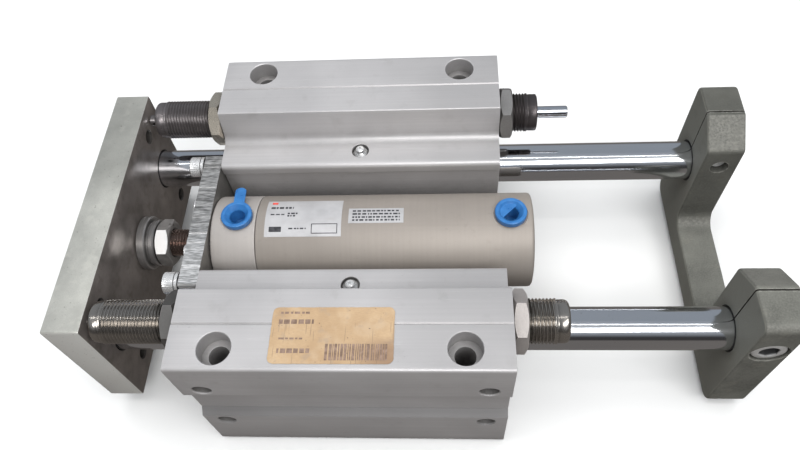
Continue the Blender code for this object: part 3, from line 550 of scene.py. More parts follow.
def cast_material():
    """Painted iron casting: olive grey with a sandy skin, worn bright at corners and rough pale patches. Painted shade
    darkens its hollow corners and most of the far lobe, and painted light brightens the faces turned towards -X.
    """
    r = Recipe("cast_iron_painted")
    paint = (0.128, 0.128, 0.112)
    cloud = r.noise(14, 4.0)
    sand = r.noise(0.8, 4.0)
    lumps = r.noise(4.5, 4.0)
    base = r.mix(r.band(cloud, 0.3, 0.7), tint(paint, 0.72), tint(paint, 1.30))
    base = r.mix(r.band(sand, 0.40, 0.70, 0.0, 0.5), base, tint(paint, 1.55))
    bare = r.maths("MULTIPLY", r.band(r.noise(9, 4.0), 0.575, 0.64), r.band(sand, 0.35, 0.6, 0.4, 1.0))
    base = r.mix(r.maths("MULTIPLY", bare, 0.22), base, (0.40, 0.385, 0.33))
    split = r.add("ShaderNodeSeparateXYZ", {"Vector": r.geometry.outputs["Normal"]})
    upward = r.maths("MULTIPLY", r.band(split.outputs[2], 0.40, 0.55), r.band(split.outputs[2], 0.97, 0.90))
    slope_facing = r.maths("MULTIPLY", upward, r.band(r.maths("ABSOLUTE", split.outputs[1], 0.0), 0.22, 0.36))
    hammer = r.noise(1.5, 2.0)
    slope = r.maths("MULTIPLY", slope_facing, r.band(sand, 0.42, 0.58))
    base = r.mix(slope, base, (0.160, 0.157, 0.140))
    off_slope = r.band(slope_facing, 0.0, 1.0, 1.0, 0.25)
    # Painted shade: the far lobe is darkened, less so on its slope.
    far_lobe_shade = r.band(r.part(r.coordinates, 1), 0.020, 0.045, 0.0, 0.62)
    base = r.mix(r.product(far_lobe_shade, off_slope), base, tint(paint, 0.40))
    # Painted light: faces turned towards -X are brightened.
    base = r.mix(r.maths("MULTIPLY", r.facing(0, -0.75, -0.95), 0.75), base, tint(paint, 2.4))
    hammered = r.product(slope_facing, r.band(hammer, 0.44, 0.66), r.band(r.part(r.coordinates, 1), -0.01, 0.02, 0.2, 1.0))
    base = r.mix(r.maths("MULTIPLY", hammered, 0.26), base, (0.32, 0.31, 0.275))
    worn = r.maths("MULTIPLY", r.edges(0.9, 0.005, 0.10), r.band(r.noise(2.2, 4.0), 0.38, 0.62, 0.1, 1.0))
    base = r.mix(r.maths("MULTIPLY", worn, 0.8), base, (0.42, 0.41, 0.37))
    # Painted shade: darker deep in hollow corners.
    painted_corner_shade = r.maths("MULTIPLY", r.corner_shade(6), 0.6)
    base = r.mix(painted_corner_shade, base, (0.03, 0.027, 0.024))
    r.bump(sand, 0.16, 0.8)
    r.bump(r.maths("MULTIPLY", hammer, slope_facing), 0.30, 0.8)
    r.bump(lumps, 0.35, 0.5)
    return r.done(base, r.band(bare, 0.0, 1.0, 0.10, 0.40), r.band(cloud, 0.3, 0.7, 0.56, 0.66))


def chrome_material():
    """Hard chrome: a mirror with a very fine polish, faint drawn lines and a few specks."""
    r = Recipe("hard_chrome")
    haze = r.noise(20, 3.0, (4, 1, 1))
    base = r.mix(r.band(haze, 0.3, 0.7), (0.70, 0.72, 0.76), (0.78, 0.79, 0.81))
    specks = r.band(r.noise(1.2, 1.0), 0.77, 0.81)
    base = r.mix(r.maths("MULTIPLY", specks, 0.5), base, (0.25, 0.22, 0.20))
    return r.done(base, 1.0, r.band(haze, 0.3, 0.7, 0.105, 0.125))


def clamp_bolt_material():
    """Bright zinc head whose socket is painted dark as painted shade. The socket lies round the Y axis, below the
    head's face.
    """
    r = Recipe("zinc_shaded_socket")
    cloud = r.noise(3, 3.0)
    base = r.mix(r.band(cloud, 0.3, 0.7), (0.70, 0.70, 0.69), (0.84, 0.84, 0.83))
    worn = r.maths("MULTIPLY", r.edges(0.4), 0.8)
    base = r.mix(worn, base, (0.92, 0.92, 0.91))
    x, y, z = (r.part(r.coordinates, axis, True) for axis in range(3))
    # Painted shade inside the hex socket.
    socket = r.product(r.band(x, 0.0052, 0.0049), r.band(z, 0.0052, 0.0049), r.band(y, 0.0078, 0.0070))
    base = r.mix(r.maths("MULTIPLY", socket, 0.92), base, (0.045, 0.045, 0.048))
    r.bump(r.noise(0.4, 2.0), 0.003, 0.6)
    return r.done(base, 0.60, r.band(cloud, 0.3, 0.7, 0.28, 0.36))


def jam_nut_material():
    """A dull nut, with a painted highlight on the one facet that faces up and to the near side."""
    r = Recipe("jam_nut_glint")
    cloud = r.noise(4, 3.0)
    base = r.mix(r.band(cloud, 0.3, 0.7), (0.24, 0.230, 0.222), (0.38, 0.365, 0.352))
    # Painted highlight on the one facet that faces up and to the near side.
    rub_and_glint = r.product(r.facing(0, 0.25, 0.10), r.facing(0, -0.25, -0.10), r.facing(1, -0.30, -0.42),
                       r.facing(2, 0.70, 0.80))
    base = r.mix(rub_and_glint, base, (0.94, 0.93, 0.91))
    worn = r.product(r.edges(0.4), r.band(r.noise(2.5, 3.0), 0.3, 0.6, 0.4, 1.0))
    base = r.mix(r.maths("MULTIPLY", worn, 0.7), base, (0.80, 0.79, 0.77))
    r.bump(r.noise(0.5, 2.0), 0.004, 0.6)
    return r.done(base, 0.55, r.band(cloud, 0.3, 0.7, 0.27, 0.35))


def rubber_material():
    r = Recipe("nitrile_rubber")
    bloom = r.noise(2.5, 3.0)
    base = r.mix(r.band(bloom, 0.4, 0.7), (0.018, 0.018, 0.018), (0.050, 0.048, 0.046))
    r.bump(r.noise(0.3, 2.0), 0.01, 0.5)
    return r.done(base, 0.0, r.band(bloom, 0.3, 0.7, 0.50, 0.68))


def resin_material():
    r = Recipe("filled_resin")
    mottle = r.noise(1.2, 3.0)
    base = r.mix(r.band(mottle, 0.35, 0.65), (0.46, 0.38, 0.25), (0.60, 0.50, 0.33))
    r.bump(r.noise(0.4, 2.0), 0.01, 0.4)
    return r.done(base, 0.0, r.band(mottle, 0.3, 0.7, 0.42, 0.55))


def blue_material():
    """Moulded blue plastic: glossy, with faint flow clouding and whitened edges."""
    r = Recipe("blue_plastic")
    cloud = r.noise(5, 3.0)
    base = r.mix(r.band(cloud, 0.3, 0.7), (0.021, 0.118, 0.33), (0.036, 0.176, 0.44))
    worn = r.maths("MULTIPLY", r.edges(0.35, 0.02, 0.2), 0.35)
    base = r.mix(worn, base, (0.16, 0.42, 0.90))
    r.bump(r.noise(0.5, 2.0), 0.006, 0.5)
    r.shader.inputs["Coat Weight"].default_value = 0.25
    r.shader.inputs["Coat Roughness"].default_value = 0.15
    return r.done(base, 0.0, r.band(cloud, 0.3, 0.7, 0.26, 0.36))


def label_material():
    """Silvered label film: pale, slightly metallic, with tiny creases and a few grey rub marks."""
    r = Recipe("label_film")
    cloud = r.noise(9, 3.0)
    base = r.mix(r.band(cloud, 0.3, 0.7), (0.425, 0.420, 0.425), (0.515, 0.510, 0.515))
    rub = r.maths("MULTIPLY", r.band(r.noise(3, 3.0, (3, 1, 1)), 0.60, 0.72), 0.25)
    base = r.mix(rub, base, (0.42, 0.40, 0.38))
    r.bump(r.noise(2.5, 2.0), 0.012, 0.4)
    return r.done(base, 0.25, r.band(cloud, 0.3, 0.7, 0.30, 0.42))


def ink_material(name, colour):
    r = Recipe(name)
    fade = r.noise(2.0, 3.0)
    base = r.mix(r.band(fade, 0.35, 0.65), tint(colour, 0.8), tuple(min(1.0, c * 1.3 + 0.03) for c in colour))
    return r.done(base, 0.0, r.band(fade, 0.3, 0.7, 0.45, 0.60))


def paper_material():
    """Old tan paper tape: fibres, darker thumbed patches and pale rubbed ones."""
    r = Recipe("tan_paper")
    cloud = r.noise(13, 4.0)
    fibres = r.noise(0.5, 3.0, (3, 1, 1))
    base = r.mix(r.band(cloud, 0.3, 0.7), (0.38, 0.255, 0.145), (0.50, 0.36, 0.22))
    base = r.mix(r.band(fibres, 0.35, 0.65, 0.0, 0.3), base, (0.33, 0.22, 0.125))
    rub_and_glint = r.maths("MULTIPLY", r.band(r.noise(8, 4.0), 0.53, 0.66), r.band(fibres, 0.3, 0.6, 0.4, 1.0))
    base = r.mix(r.maths("MULTIPLY", rub_and_glint, 0.20), base, (0.62, 0.52, 0.40))
    grey = r.maths("MULTIPLY", r.band(r.noise(5, 3.0), 0.60, 0.72), 0.35)
    base = r.mix(grey, base, (0.27, 0.22, 0.18))
    thumbed = r.product(r.band(r.part(r.coordinates, 0), 0.074, 0.088), r.band(r.part(r.coordinates, 1), -0.071, -0.077),
                        r.band(cloud, 0.3, 0.6, 0.6, 1.0))
    base = r.mix(r.maths("MULTIPLY", thumbed, 0.85), base, (0.21, 0.13, 0.085))
    specks = r.band(r.noise(1.1, 1.0), 0.73, 0.77)
    base = r.mix(r.maths("MULTIPLY", specks, 0.7), base, (0.05, 0.04, 0.035))
    scuff = r.band(r.noise(0.5, 1.0, (1.5, 30, 1)), 0.69, 0.72)
    base = r.mix(r.maths("MULTIPLY", scuff, 0.45), base, (0.12, 0.09, 0.07))
    r.bump(fibres, 0.02, 0.6)
    r.bump(r.noise(6, 2.0), 0.05, 0.4)
    return r.done(base, 0.0, r.band(cloud, 0.3, 0.7, 0.60, 0.78))


MATERIALS = {
    "anodised": anodised_material(),
    "barrel": tube_material("barrel_champagne", (0.342, 0.306, 0.272)),
    "cover": tube_material("cover_champagne", (0.440, 0.410, 0.385)),
    "steel": plate_material(),
    "cast": cast_material(),
    "chrome": chrome_material(),
    "nickel": metal("nickel_plate", (0.45, 0.418, 0.380), 0.95, 0.20, (1, 1, 1), 0.4, 0.0008, 0.08, 0.5, 0.7),
    "gunmetal": metal("gunmetal", (0.235, 0.214, 0.214), 0.80, 0.36, (1, 1, 1), 0.4, 0.004, 0.18, 0.6, 0.6),
    "zinc": metal("bright_zinc", (0.84, 0.835, 0.83), 0.60, 0.27, (1, 1, 1), 0.5, 0.002, 0.10, 0.5, 1.0),
    "blackened": metal("blackened_steel", (0.400, 0.385, 0.375), 0.80, 0.36, (1, 12, 12), 0.5, 0.005, 0.2,
                       1.0, 0.5),
    "brass": metal("brass", (0.60, 0.46, 0.24), 0.95, 0.26, (1, 8, 8), 0.3, 0.003, 0.12, 0.5, 0.5),
    "rubber": rubber_material(),
    "resin": resin_material(),
    "blue": blue_material(),
    "bearing": metal("bearing_steel", (0.45, 0.45, 0.46), 0.95, 0.28, (1, 20, 20), 0.3, 0.003, 0.1, 0.4, 0.4),
}
SAWN = flange_material()
CLAMP_BOLT = clamp_bolt_material()
THREAD_BROWN = metal("oiled_thread", (0.31, 0.225, 0.195), 0.90, 0.24, (1, 1, 1), 0.5, 0.005, 0.25, 0.5, 0.4)
TAN_NUT = metal("tarnished_nut", (0.60, 0.54, 0.45), 0.85, 0.30, (1, 1, 1), 0.6, 0.006, 0.22, 0.5, 0.6)
FRONT_NUT = metal("shaded_nickel_nut", (0.20, 0.192, 0.182), 0.80, 0.38, (1, 1, 1), 0.5, 0.003, 0.14, 1.0, 0.5)
# A darker copy of the gunmetal: painted shade for the far rear damper.
SHADED_GUNMETAL = metal("shaded_gunmetal", (0.104, 0.092, 0.092), 0.80, 0.36, (1, 1, 1), 0.4, 0.003, 0.18, 0.6, 0.6)
NICKEL_NUT = metal("nickel_nut", (0.40, 0.370, 0.352), 0.50, 0.50, (1, 1, 1), 0.5, 0.004, 0.14, 0.9, 0.5)
DULL_NUT = metal("dull_nut", (0.33, 0.32, 0.31), 0.80, 0.38, (1, 1, 1), 0.5, 0.004, 0.14, 0.6, 0.5)
JAM_NUT = jam_nut_material()
LABEL = label_material()
PAPER = paper_material()
BLACK_INK = ink_material("black_ink", (0.020, 0.020, 0.024))
RED_INK = ink_material("red_ink", (0.62, 0.06, 0.04))
BROWN_INK = ink_material("brown_ink", (0.19, 0.125, 0.090))


# ---------------------------------------------------------------- fixed pieces

BODY_LOW, BODY_HIGH = span("guide_body")
LENGTH = BODY_HIGH.x
LABEL_ROOM = 0.00022
TOP = BODY_HIGH.z - LABEL_ROOM
STEP_Z = 0.0249
ROD_Y = middle("guide_rod_far").y
ROD_RADIUS = (span("guide_rod_far")[1].z - span("guide_rod_far")[0].z) / 2
ABSORBER_AT = middle("absorber_rod_far_rear")
MOUNT_HOLE_X = (0.0200, 0.1215)
MOUNT_HOLE_Y = 0.0763
SIDE_HOLE_X = (0.0100, 0.1314)
SIDE_HOLE_Z = 0.0200
FLANGE_SCREWS = (middle("flange_screw_far_high").y, middle("flange_screw_far_high").z)
CYLINDER_SCREWS = (middle("cylinder_screw_far_high").y, middle("cylinder_screw_far_high").z)
TUBE_RADIUS = span("cylinder_tube")[1].y
PORTS = {"rod_cover": middle("port_plug_front").x, "cylinder_tube": 0.1446}
PORT_SEAT = 0.0226
CORNERS = ((-1, -1, "near_low"), (-1, 1, "near_high"), (1, -1, "far_low"), (1, 1, "far_high"))


def body_half():
    """Half of the extrusion's section, from the middle of the underside to the middle of the channel."""
    wide, low = BODY_HIGH.y, BODY_LOW.z
    inner = 0.0493
    channel = 0.0306
    floor = -0.0295
    half = rounded([
        (0.0, low + 0.0015, 0),
        (0.0260, low + 0.0015, 0.0008),
        (0.0275, low, 0.0006),
        (wide, low, 0.0030),
        (wide, -0.0140, 0.0004),
        (wide - 0.0034, -0.0106, 0.0006),
        (wide - 0.0034, 0.0106, 0.0006),
        (wide, 0.0140, 0.0004),
        (wide, TOP, 0.0014),
        (0.0662, TOP, 0.0002),
        (0.0656, TOP - 0.0006, 0.0002),
        (0.0650, TOP, 0.0002),
        (inner, TOP, 0.0008),
        (inner - 0.0025, 0.0310, 0),
    ])[:-1]
    # The wall leans in a little, then a hollow fillet runs out onto the lower step.
    half += arc(inner - 0.0069, STEP_Z + 0.0045, 0.0045, -5, -85, 13)
    half += [(0.0319, STEP_Z)]
    # The rounded nose of the step overhangs the channel's side.
    half += arc(0.0317, STEP_Z - 0.0025, 0.0024, 100, 180, 11)
    half += [
        (0.0295, 0.0188),
        (channel, 0.0172),
        (channel, floor + 0.0060),
        (channel - 0.0010, floor + 0.0032),
        (channel - 0.0032, floor + 0.0010),
        (channel - 0.0060, floor),
        (0.0, floor),
    ]
    return half


def make_guide_body():
    half = body_half()
    other = [(-y, z) for y, z in reversed(half[1:-1])]
    body = place(extrude("body", half + other, LENGTH, edge=0.0005))
    drills = []
    seat = span("ball_bushing_far_front")[1].z + GAP
    absorber = 0.0098 + GAP
    for side, _word in SIDES:
        profile = [(-MM, 0), (-MM, seat + 0.0006), (0, seat + 0.0006), (0.0006, seat), (0.048, seat), (0.048, 0.013)]
        profile += [(LENGTH - x, r) for x, r in reversed(profile)]
        drills.append(place(turn("drill", profile), (0, side * ROD_Y, 0)))
        at = (0, side * ABSORBER_AT.y, ABSORBER_AT.z)
        drills.append(drill(0, LENGTH, absorber, at, "X", SMALL_ROUND, 0.0005, True))
        for x in MOUNT_HOLE_X:
            at = (x, side * MOUNT_HOLE_Y, 0)
            drills.append(counterbore(TOP, TOP - 0.0090, BODY_LOW.z, 0.0072, 0.0045, at, "Z", ROUND))
        for x in SIDE_HOLE_X:
            for z in (-SIDE_HOLE_Z, SIDE_HOLE_Z):
                at = (x, side * BODY_HIGH.y, z)
                along = "-Y" if side > 0 else "Y"
                drills.append(drill(0, 0.012, 0.00415, at, along, 32, 0.0005, False, (0.0010, 0.0112, 0.00125, 0.0005)))
        nipple = middle("grease_nipple_far")
        at = (nipple.x, side * nipple.y, STEP_Z)
        drills.append(counterbore(0, -0.003, -0.009, 0.0043, 0.0028, at, "Z", SMALL_ROUND, 0.0002, False))
        for sense in (-1, 1):
            at = (0, side * FLANGE_SCREWS[0], sense * FLANGE_SCREWS[1])
            drills.append(drill(0, 0.016, 0.0028, at, "X", 24))
    combine(body, drills)
    finish_piece(body, "body_extrusion", "body", "anodised", ["guide_body"], sharp=24)


def hexagon(across, turn_by=0.0):
    return arc(0, 0, across / 2 / math.cos(math.radians(30)), 30 + turn_by, 330 + turn_by, 6)


def cap_screw(node, name, body, shank, length, socket, axis="X", washer=0.0, teeth=0, material=None):
    """A socket screw standing in for a CAD one: its head's size and place are the node's own."""
    low, high = span(node)
    size = high - low
    along = "xyz".index(axis[-1].lower())
    radius = min(size[(along + 1) % 3], size[(along + 2) % 3]) / 2
    head = size[along] - length
    centre = (low + high) / 2
    forward = axis in ("X", "Y", "Z")
    centre[along] = low[along] + head if forward else high[along] - head
    edge = min(0.0006, radius * 0.12)
    profile = [(-head, 0), (-head, radius - edge * 1.6), (-head + edge * 0.4, radius - edge * 0.5), (-head + edge, radius)]
    if teeth:
        profile += [(-head + edge + 0.0002, radius), (-head * 0.5, radius), (-washer - GAP - edge, radius)]
    if washer:
        base = -GAP - washer
        profile += [(base - 0.0003, radius), (base - 0.0001, radius - 0.0006), (base + 0.0001, radius - 0.0006),
                    (base + 0.0002, radius)]
    profile += [(-GAP - 0.0002, radius), (-GAP, radius - 0.0002), (-GAP, shank), (length - 0.0006, shank)]
    profile += [(length, shank - 0.0006), (length, 0)]
    knurl = (-head + edge, -washer - GAP - edge, teeth, 0.00016) if teeth else None
    screw = place(turn(name, profile, max(SMALL_ROUND, teeth * 4), axis, None, knurl), centre)
    key = place(extrude("key", hexagon(socket), head * 0.62, axis), centre)
    tip = place(turn("tip", [(-0.0001, 0), (-0.0001, socket * 0.50), (socket * 0.16, 0)], 24, axis), centre)
    away = ALONG[axis] @ Matrix.Translation((-head - head * 0.12, 0, 0))
    key.location += away.translation
    deep = ALONG[axis] @ Matrix.Translation((-head * 0.5, 0, 0))
    tip.location += deep.translation
    mouth = place(turn("mouth", [(-head - MM, 0), (-head - MM, socket * 0.56 + MM), (-head + socket * 0.05, socket * 0.5),
                                 (-head + socket * 0.05, 0)], SMALL_ROUND, axis), centre)
    combine(screw, [key, tip, mouth])
    finish_piece(screw, name, body, "zinc", [node], material, 38)


def make_screws():
    for _side, _sense, word in CORNERS:
        cap_screw("flange_screw_" + word, "flange_bolt_" + word, "body", 0.0025, 0.0240, 0.0050, "X", 0.0016, 30)
        cap_screw("cylinder_screw_" + word, "cover_bolt_" + word, "body", 0.0020, 0.0170, 0.0030, "X", 0, 24)
    for word, length in (("near", 0.0200), ("far", 0.0200), ("centre", 0.0124)):
        cap_screw("front_screw_" + word, "front_bolt_" + word, "slide", 0.0040, length, 0.0060, "X", 0, 32)
    cap_screw("clamp_screw_near", "clamp_bolt_near", "slide", 0.0040, 0.0230, 0.0080, "Y", 0, 0, CLAMP_BOLT)
    cap_screw("clamp_screw_far", "clamp_bolt_far", "slide", 0.0040, 0.0230, 0.0080, "-Y", 0, 0, CLAMP_BOLT)


def make_flange():
    """The small flange. Saw cuts run across its edges, so its outline is uneven along them."""
    low, high = span("small_flange")
    wide, tall = high.y, high.z

    def sawn(start, end, depth):
        """Points from start to end along an edge, each nicked inwards by a random part of the depth."""
        start, end = Vector(start), Vector(end)
        inward = Vector((-(end - start).y, (end - start).x)).normalized()
        count = int((end - start).length / 0.0009)
        points = []
        for index in range(1, count):
            share = (index + rng.uniform(-0.3, 0.3)) / count
            notch = depth * rng.random() ** 2 * (1.6 if rng.random() < 0.18 else 1.0)
            points.append(tuple(start + (end - start) * share + inward * notch))
        return points

    c = 0.0007
    outline = [(-wide + c, -tall), *sawn((-wide + c, -tall), (wide - c, -tall), 0.00025), (wide - c, -tall)]
    outline += [(wide, -tall + c), *sawn((wide, -tall + c), (wide, tall - c), 0.00025), (wide, tall - c)]
    outline += [(wide - c, tall), *sawn((wide - c, tall), (-wide + c, tall), 0.00032), (-wide + c, tall)]
    outline += [(-wide, tall - c), *sawn((-wide, tall - c), (-wide, -tall + c), 0.00025), (-wide, -tall + c)]
    plate = place(extrude("flange", outline, high.x - low.x), (low.x, 0, 0))
    drills = [drill(0, high.x - low.x, 0.0140 + GAP, (low.x, 0, 0), "X", ROUND, 0.0004, True)]
    for radius, (y, z) in ((0.0028, FLANGE_SCREWS), (0.0023, CYLINDER_SCREWS)):
        for side, sense, _word in CORNERS:
            at = (low.x, side * y, sense * z)
            drills.append(drill(0, high.x - low.x, radius, at, "X", 24, 0.0002, True))
    combine(plate, drills)
    finish_piece(plate, "head_flange", "body", "steel", ["small_flange"], SAWN, 20)


def port_cutter(x):
    return counterbore(TUBE_RADIUS, PORT_SEAT, 0.0080, 0.0083, 0.0049, (x, 0, 0), "Z", ROUND, 0.0, False)


def make_cylinder():
    cover_end = span("rod_cover")[1].x - 0.0055
    boss = span("rod_cover")[0].x
    bore = 0.0200
    cushion = 0.0125
    seat = 0.0110
    profile = [
        (boss, seat), (boss, 0.0134), (boss + 0.0006, 0.0140), (0.0, 0.0140), (0.0, TUBE_RADIUS - 0.0012),
        (0.0002, TUBE_RADIUS - 0.0006), (0.0006, TUBE_RADIUS - 0.0002), (0.0012, TUBE_RADIUS),
        (cover_end - 0.0004, TUBE_RADIUS), (cover_end - 0.0001, TUBE_RADIUS - 0.0002),
        (cover_end, TUBE_RADIUS - 0.0006), (cover_end, bore - GAP), (cover_end + 0.0055, bore - GAP),
        (cover_end + 0.0055, cushion), (0.0073, cushion), (0.0073, seat),
    ]
    cover = place(turn("cover", profile, 144))
    drills = [port_cutter(PORTS["rod_cover"])]
    for side, sense, _word in CORNERS:
        at = (0, side * CYLINDER_SCREWS[0], sense * CYLINDER_SCREWS[1])
        drills.append(drill(0, 0.010, 0.0023, at, "X", 24))
    combine(cover, drills)
    finish_piece(cover, "cover_drum", "body", "cover", ["rod_cover"])

    end = span("cylinder_tube")[1].x
    start = span("cylinder_tube")[0].x
    head = 0.1346
    profile = [
        (head + 0.0160, 0), (head + 0.0160, cushion), (head, cushion), (head, bore), (start, bore),
        (start, TUBE_RADIUS - 0.0006), (start + 0.0002, TUBE_RADIUS - 0.0002), (start + 0.0006, TUBE_RADIUS),
        (end - 0.0016, TUBE_RADIUS), (end - 0.0007, TUBE_RADIUS - 0.0003), (end - 0.0002, TUBE_RADIUS - 0.0009),
        (end, TUBE_RADIUS - 0.0018), (end, 0),
    ]
    tube = place(turn("tube", profile, 144))
    combine(tube, [port_cutter(PORTS["cylinder_tube"])])
    finish_piece(tube, "barrel_tube", "body", "barrel", ["cylinder_tube"])


def make_plugs():
    """Push-in port plugs: a cup with a rolled rim. One has its pull tab outside the rim, the other inside."""
    for node, name, body, out in (("port_plug_front", "plug_front_cup", "plug_front", True),
                                  ("port_plug_rear", "plug_rear_cup", "plug_rear", False)):
        x = PORTS["rod_cover"] if out else PORTS["cylinder_tube"]
        bottom = span(node)[0].z
        seat = PORT_SEAT + GAP
        rim = 0.0076
        profile = [(bottom, 0), (bottom, 0.0040), (bottom + 0.0004, 0.0043), (bottom + 0.0020, 0.00484), (seat, 0.00484)]
        profile += [(seat, rim - 0.0003), (seat + 0.0003, rim), (seat + 0.0021, rim)]
        profile += [(seat + 0.0024 + 0.0006 * math.sin(a), rim - 0.0006 + 0.0006 * math.cos(a))
                    for a in (math.radians(step) for step in range(0, 91, 18))]
        profile += [(seat + 0.0030, 0.0062), (seat + 0.0029, 0.0058), (seat + 0.0024, 0.0054)]
        profile += [(seat + 0.0012, 0.0042), (seat + 0.0006, 0.0038), (bottom + 0.0015, 0.0036), (bottom + 0.0015, 0)]
        plug = place(turn(name, profile, ROUND, "Z"), (x, 0, 0))
        if out:
            tab_end = span(node)[1].y
            outline = [(0.0058, -0.0027), (tab_end - 0.0031, -0.0027)]
            outline += arc(tab_end - 0.0031, 0, 0.0031, -60, 60, 13)
            outline += [(tab_end - 0.0031, 0.0027), (0.0058, 0.0027)]
            tab = place(extrude("tab", outline, 0.0012, "Z", 0.0003), (x, 0, seat + 0.0011))
        else:
            outline = arc(0, 0, 0.0053, -38, 128, 17)
            tab = place(extrude("tab", outline, 0.0010, "Z", 0.0002), (x, 0, seat + 0.0008))
        combine(plug, [tab], "UNION")
        finish_piece(plug, name, body, "blue", [node])


def hex_nut(node, name, body, slot, across, thread_radius, axis, twist=0.0, material=None):
    """A hexagon nut over its CAD node: corners cut back by a cone at each end, and a countersunk bore."""
    low, high = span(node)
    thick = high.x - low.x
    centre = (low + high) / 2
    start = Vector((low.x if axis == "X" else high.x, centre.y, centre.z))
    corner = across / 2 / math.cos(math.radians(30))
    face = across / 2 * 0.97
    slope = math.tan(math.radians(30))
    reach = corner + 0.0003
    profile = [(-0.0004, 0), (-0.0004, face - 0.0004 / slope), ((reach - face) * slope, reach)]
    profile += [(thick - (reach - face) * slope, reach), (thick + 0.0004, face - 0.0004 / slope), (thick + 0.0004, 0)]
    nut = place(extrude("nut", hexagon(across, twist), thick, axis), start)
    combine(nut, [place(turn("limit", profile, ROUND, axis), start)], "INTERSECT")
    c = 0.0009
    bore = [(-MM, 0), (-MM, thread_radius + MM + c), (0, thread_radius + c), (c, thread_radius)]
    bore += [(thick - c, thread_radius), (thick, thread_radius + c), (thick + MM, thread_radius + MM + c), (thick + MM, 0)]
    combine(nut, [place(turn("bore", bore, SMALL_ROUND, axis), start)])
    finish_piece(nut, name, body, slot, [node], material, 20)


NUT_ACROSS = 0.0240
ABSORBERS = (
    ("near_front", -1, 0.0049, 4.5, "nickel", FRONT_NUT),
    ("far_front", 1, 0.0053, -17, "gunmetal", TAN_NUT),
    ("near_rear", -1, 0.0054, -7, "nickel", NICKEL_NUT),
    ("far_rear", 1, 0.0049, -13.5, "gunmetal", DULL_NUT),
)


def make_absorbers():
    """Shock absorbers: a body threaded along nearly all its length, with its plunger and its lock nut."""
    for name, side, nose, twist, slot, nut_material in ABSORBERS:
        node = "absorber_" + name
        front = name.endswith("front")
        low, high = span(node)
        axis = "-X" if front else "X"
        face = 0.0 if front else LENGTH
        reach = -low.x if front else high.x - LENGTH
        back = reach - (high.x - low.x)
        radius = (high.z - low.z) / 2
        end_radius = radius - 0.0005
        thread_end = reach - nose
        profile = [(back, 0), (back, radius - 0.0014), (back + 0.0012, radius - 0.0002), (back + 0.0012, radius)]
        profile += [(thread_end, radius), (thread_end + 0.0001, radius - 0.0007), (thread_end + 0.0007, radius - 0.0007)]
        profile += [(thread_end + 0.0009, end_radius)]
        if front:
            bend = 0.0016
            profile += [(reach - bend + bend * math.sin(a), end_radius - bend + bend * math.cos(a))
                        for a in (math.radians(step) for step in range(0, 91, 15))]
        else:
            corner = 0.0020 if name == "near_rear" else 0.0008
            profile += [(reach - corner + corner * math.sin(a), end_radius - corner + corner * math.cos(a))
                        for a in (math.radians(step) for step in range(0, 91, 15))]
        profile += [(reach, 0.0046), (reach - 0.0005, 0.0043), (reach - 0.0005, 0.00308), (reach - 0.0460, 0.00308),
                    (reach - 0.0460, 0)]
        at = (face, side * ABSORBER_AT.y, ABSORBER_AT.z)
        thread = (back + 0.0012, thread_end, 0.0015, 0.00075)
        body = place(turn(name, profile, 72, axis, thread), at)
        # The far rear damper takes the darker copy of gunmetal as painted shade.
        skin = SHADED_GUNMETAL if name == "far_rear" else None
        finish_piece(body, "damper_" + name, "body", slot, [node], skin, 50)
        hex_nut("absorber_nut_" + name, "lock_nut_" + name, "body", slot, NUT_ACROSS, 0.0098 + 0.0001, axis,
                twist, nut_material)
        rod = "absorber_rod_" + name
        low, high = span(rod)
        inner, tip = (-high.x, -low.x) if front else (low.x - LENGTH, high.x - LENGTH)
        r = (high.z - low.z) / 2
        profile = [(inner, 0), (inner, r), (tip - 0.0008, r), (tip - 0.0004, r - 0.0001), (tip - 0.0001, r - 0.0005),
                   (tip, r - 0.0010), (tip, 0)]
        rider = "plunger_" + name if name != "near_rear" else "body"
        plunger = place(turn(rod, profile, SMALL_ROUND, axis), at)
        finish_piece(plunger, "plunger_" + name, rider, "chrome", [rod])


def make_small_rings():
    """The rod wipers and the grease nipples."""
    for _side, word in SIDES:
        for end in ("front", "rear"):
            node = f"wiper_{word}_{end}"
            low, high = span(node)
            outer = (high.z - low.z) / 2
            inner = ROD_RADIUS + 0.00006
            thick = high.x - low.x
            profile = [(0, inner), (0, inner + 0.0006), (0.0007, inner + 0.0014), (0.0007, outer - 0.0012),
                       (0.0002, outer - 0.0008), (0.0002, outer - 0.0003), (0.0005, outer), (thick, outer),
                       (thick, inner)]
            at = (low.x if end == "front" else high.x, middle(node).y, 0)
            ring = place(turn(node, profile, ROUND, "X" if end == "front" else "-X"), at)
            finish_piece(ring, f"scraper_{word}_{end}", "body", "rubber", [node])
        node = "grease_nipple_" + word
        at = middle(node)
        low = span(node)[0].z - STEP_Z
        profile = [(low, 0), (low, 0.0024), (-0.0027, 0.0024), (-0.0027, 0.0034), (-0.0025, 0.0036), (-0.0014, 0.0036),
                   (-0.0010, 0.0030), (-0.0006, 0.0021), (0.0, 0.0016), (0.0005, 0.0016), (0.0009, 0.0020),
                   (0.0013, 0.0021), (0.0017, 0.0018), (0.0021, 0.0011), (0.0021, 0.0006), (0.0018, 0.0004), (0.0018, 0)]
        nipple = place(turn(node, profile, SMALL_ROUND, "Z"), (at.x, at.y, STEP_Z))
        finish_piece(nipple, "nipple_" + word, "body", "zinc", [node])


# ---------------------------------------------------------------- moving pieces


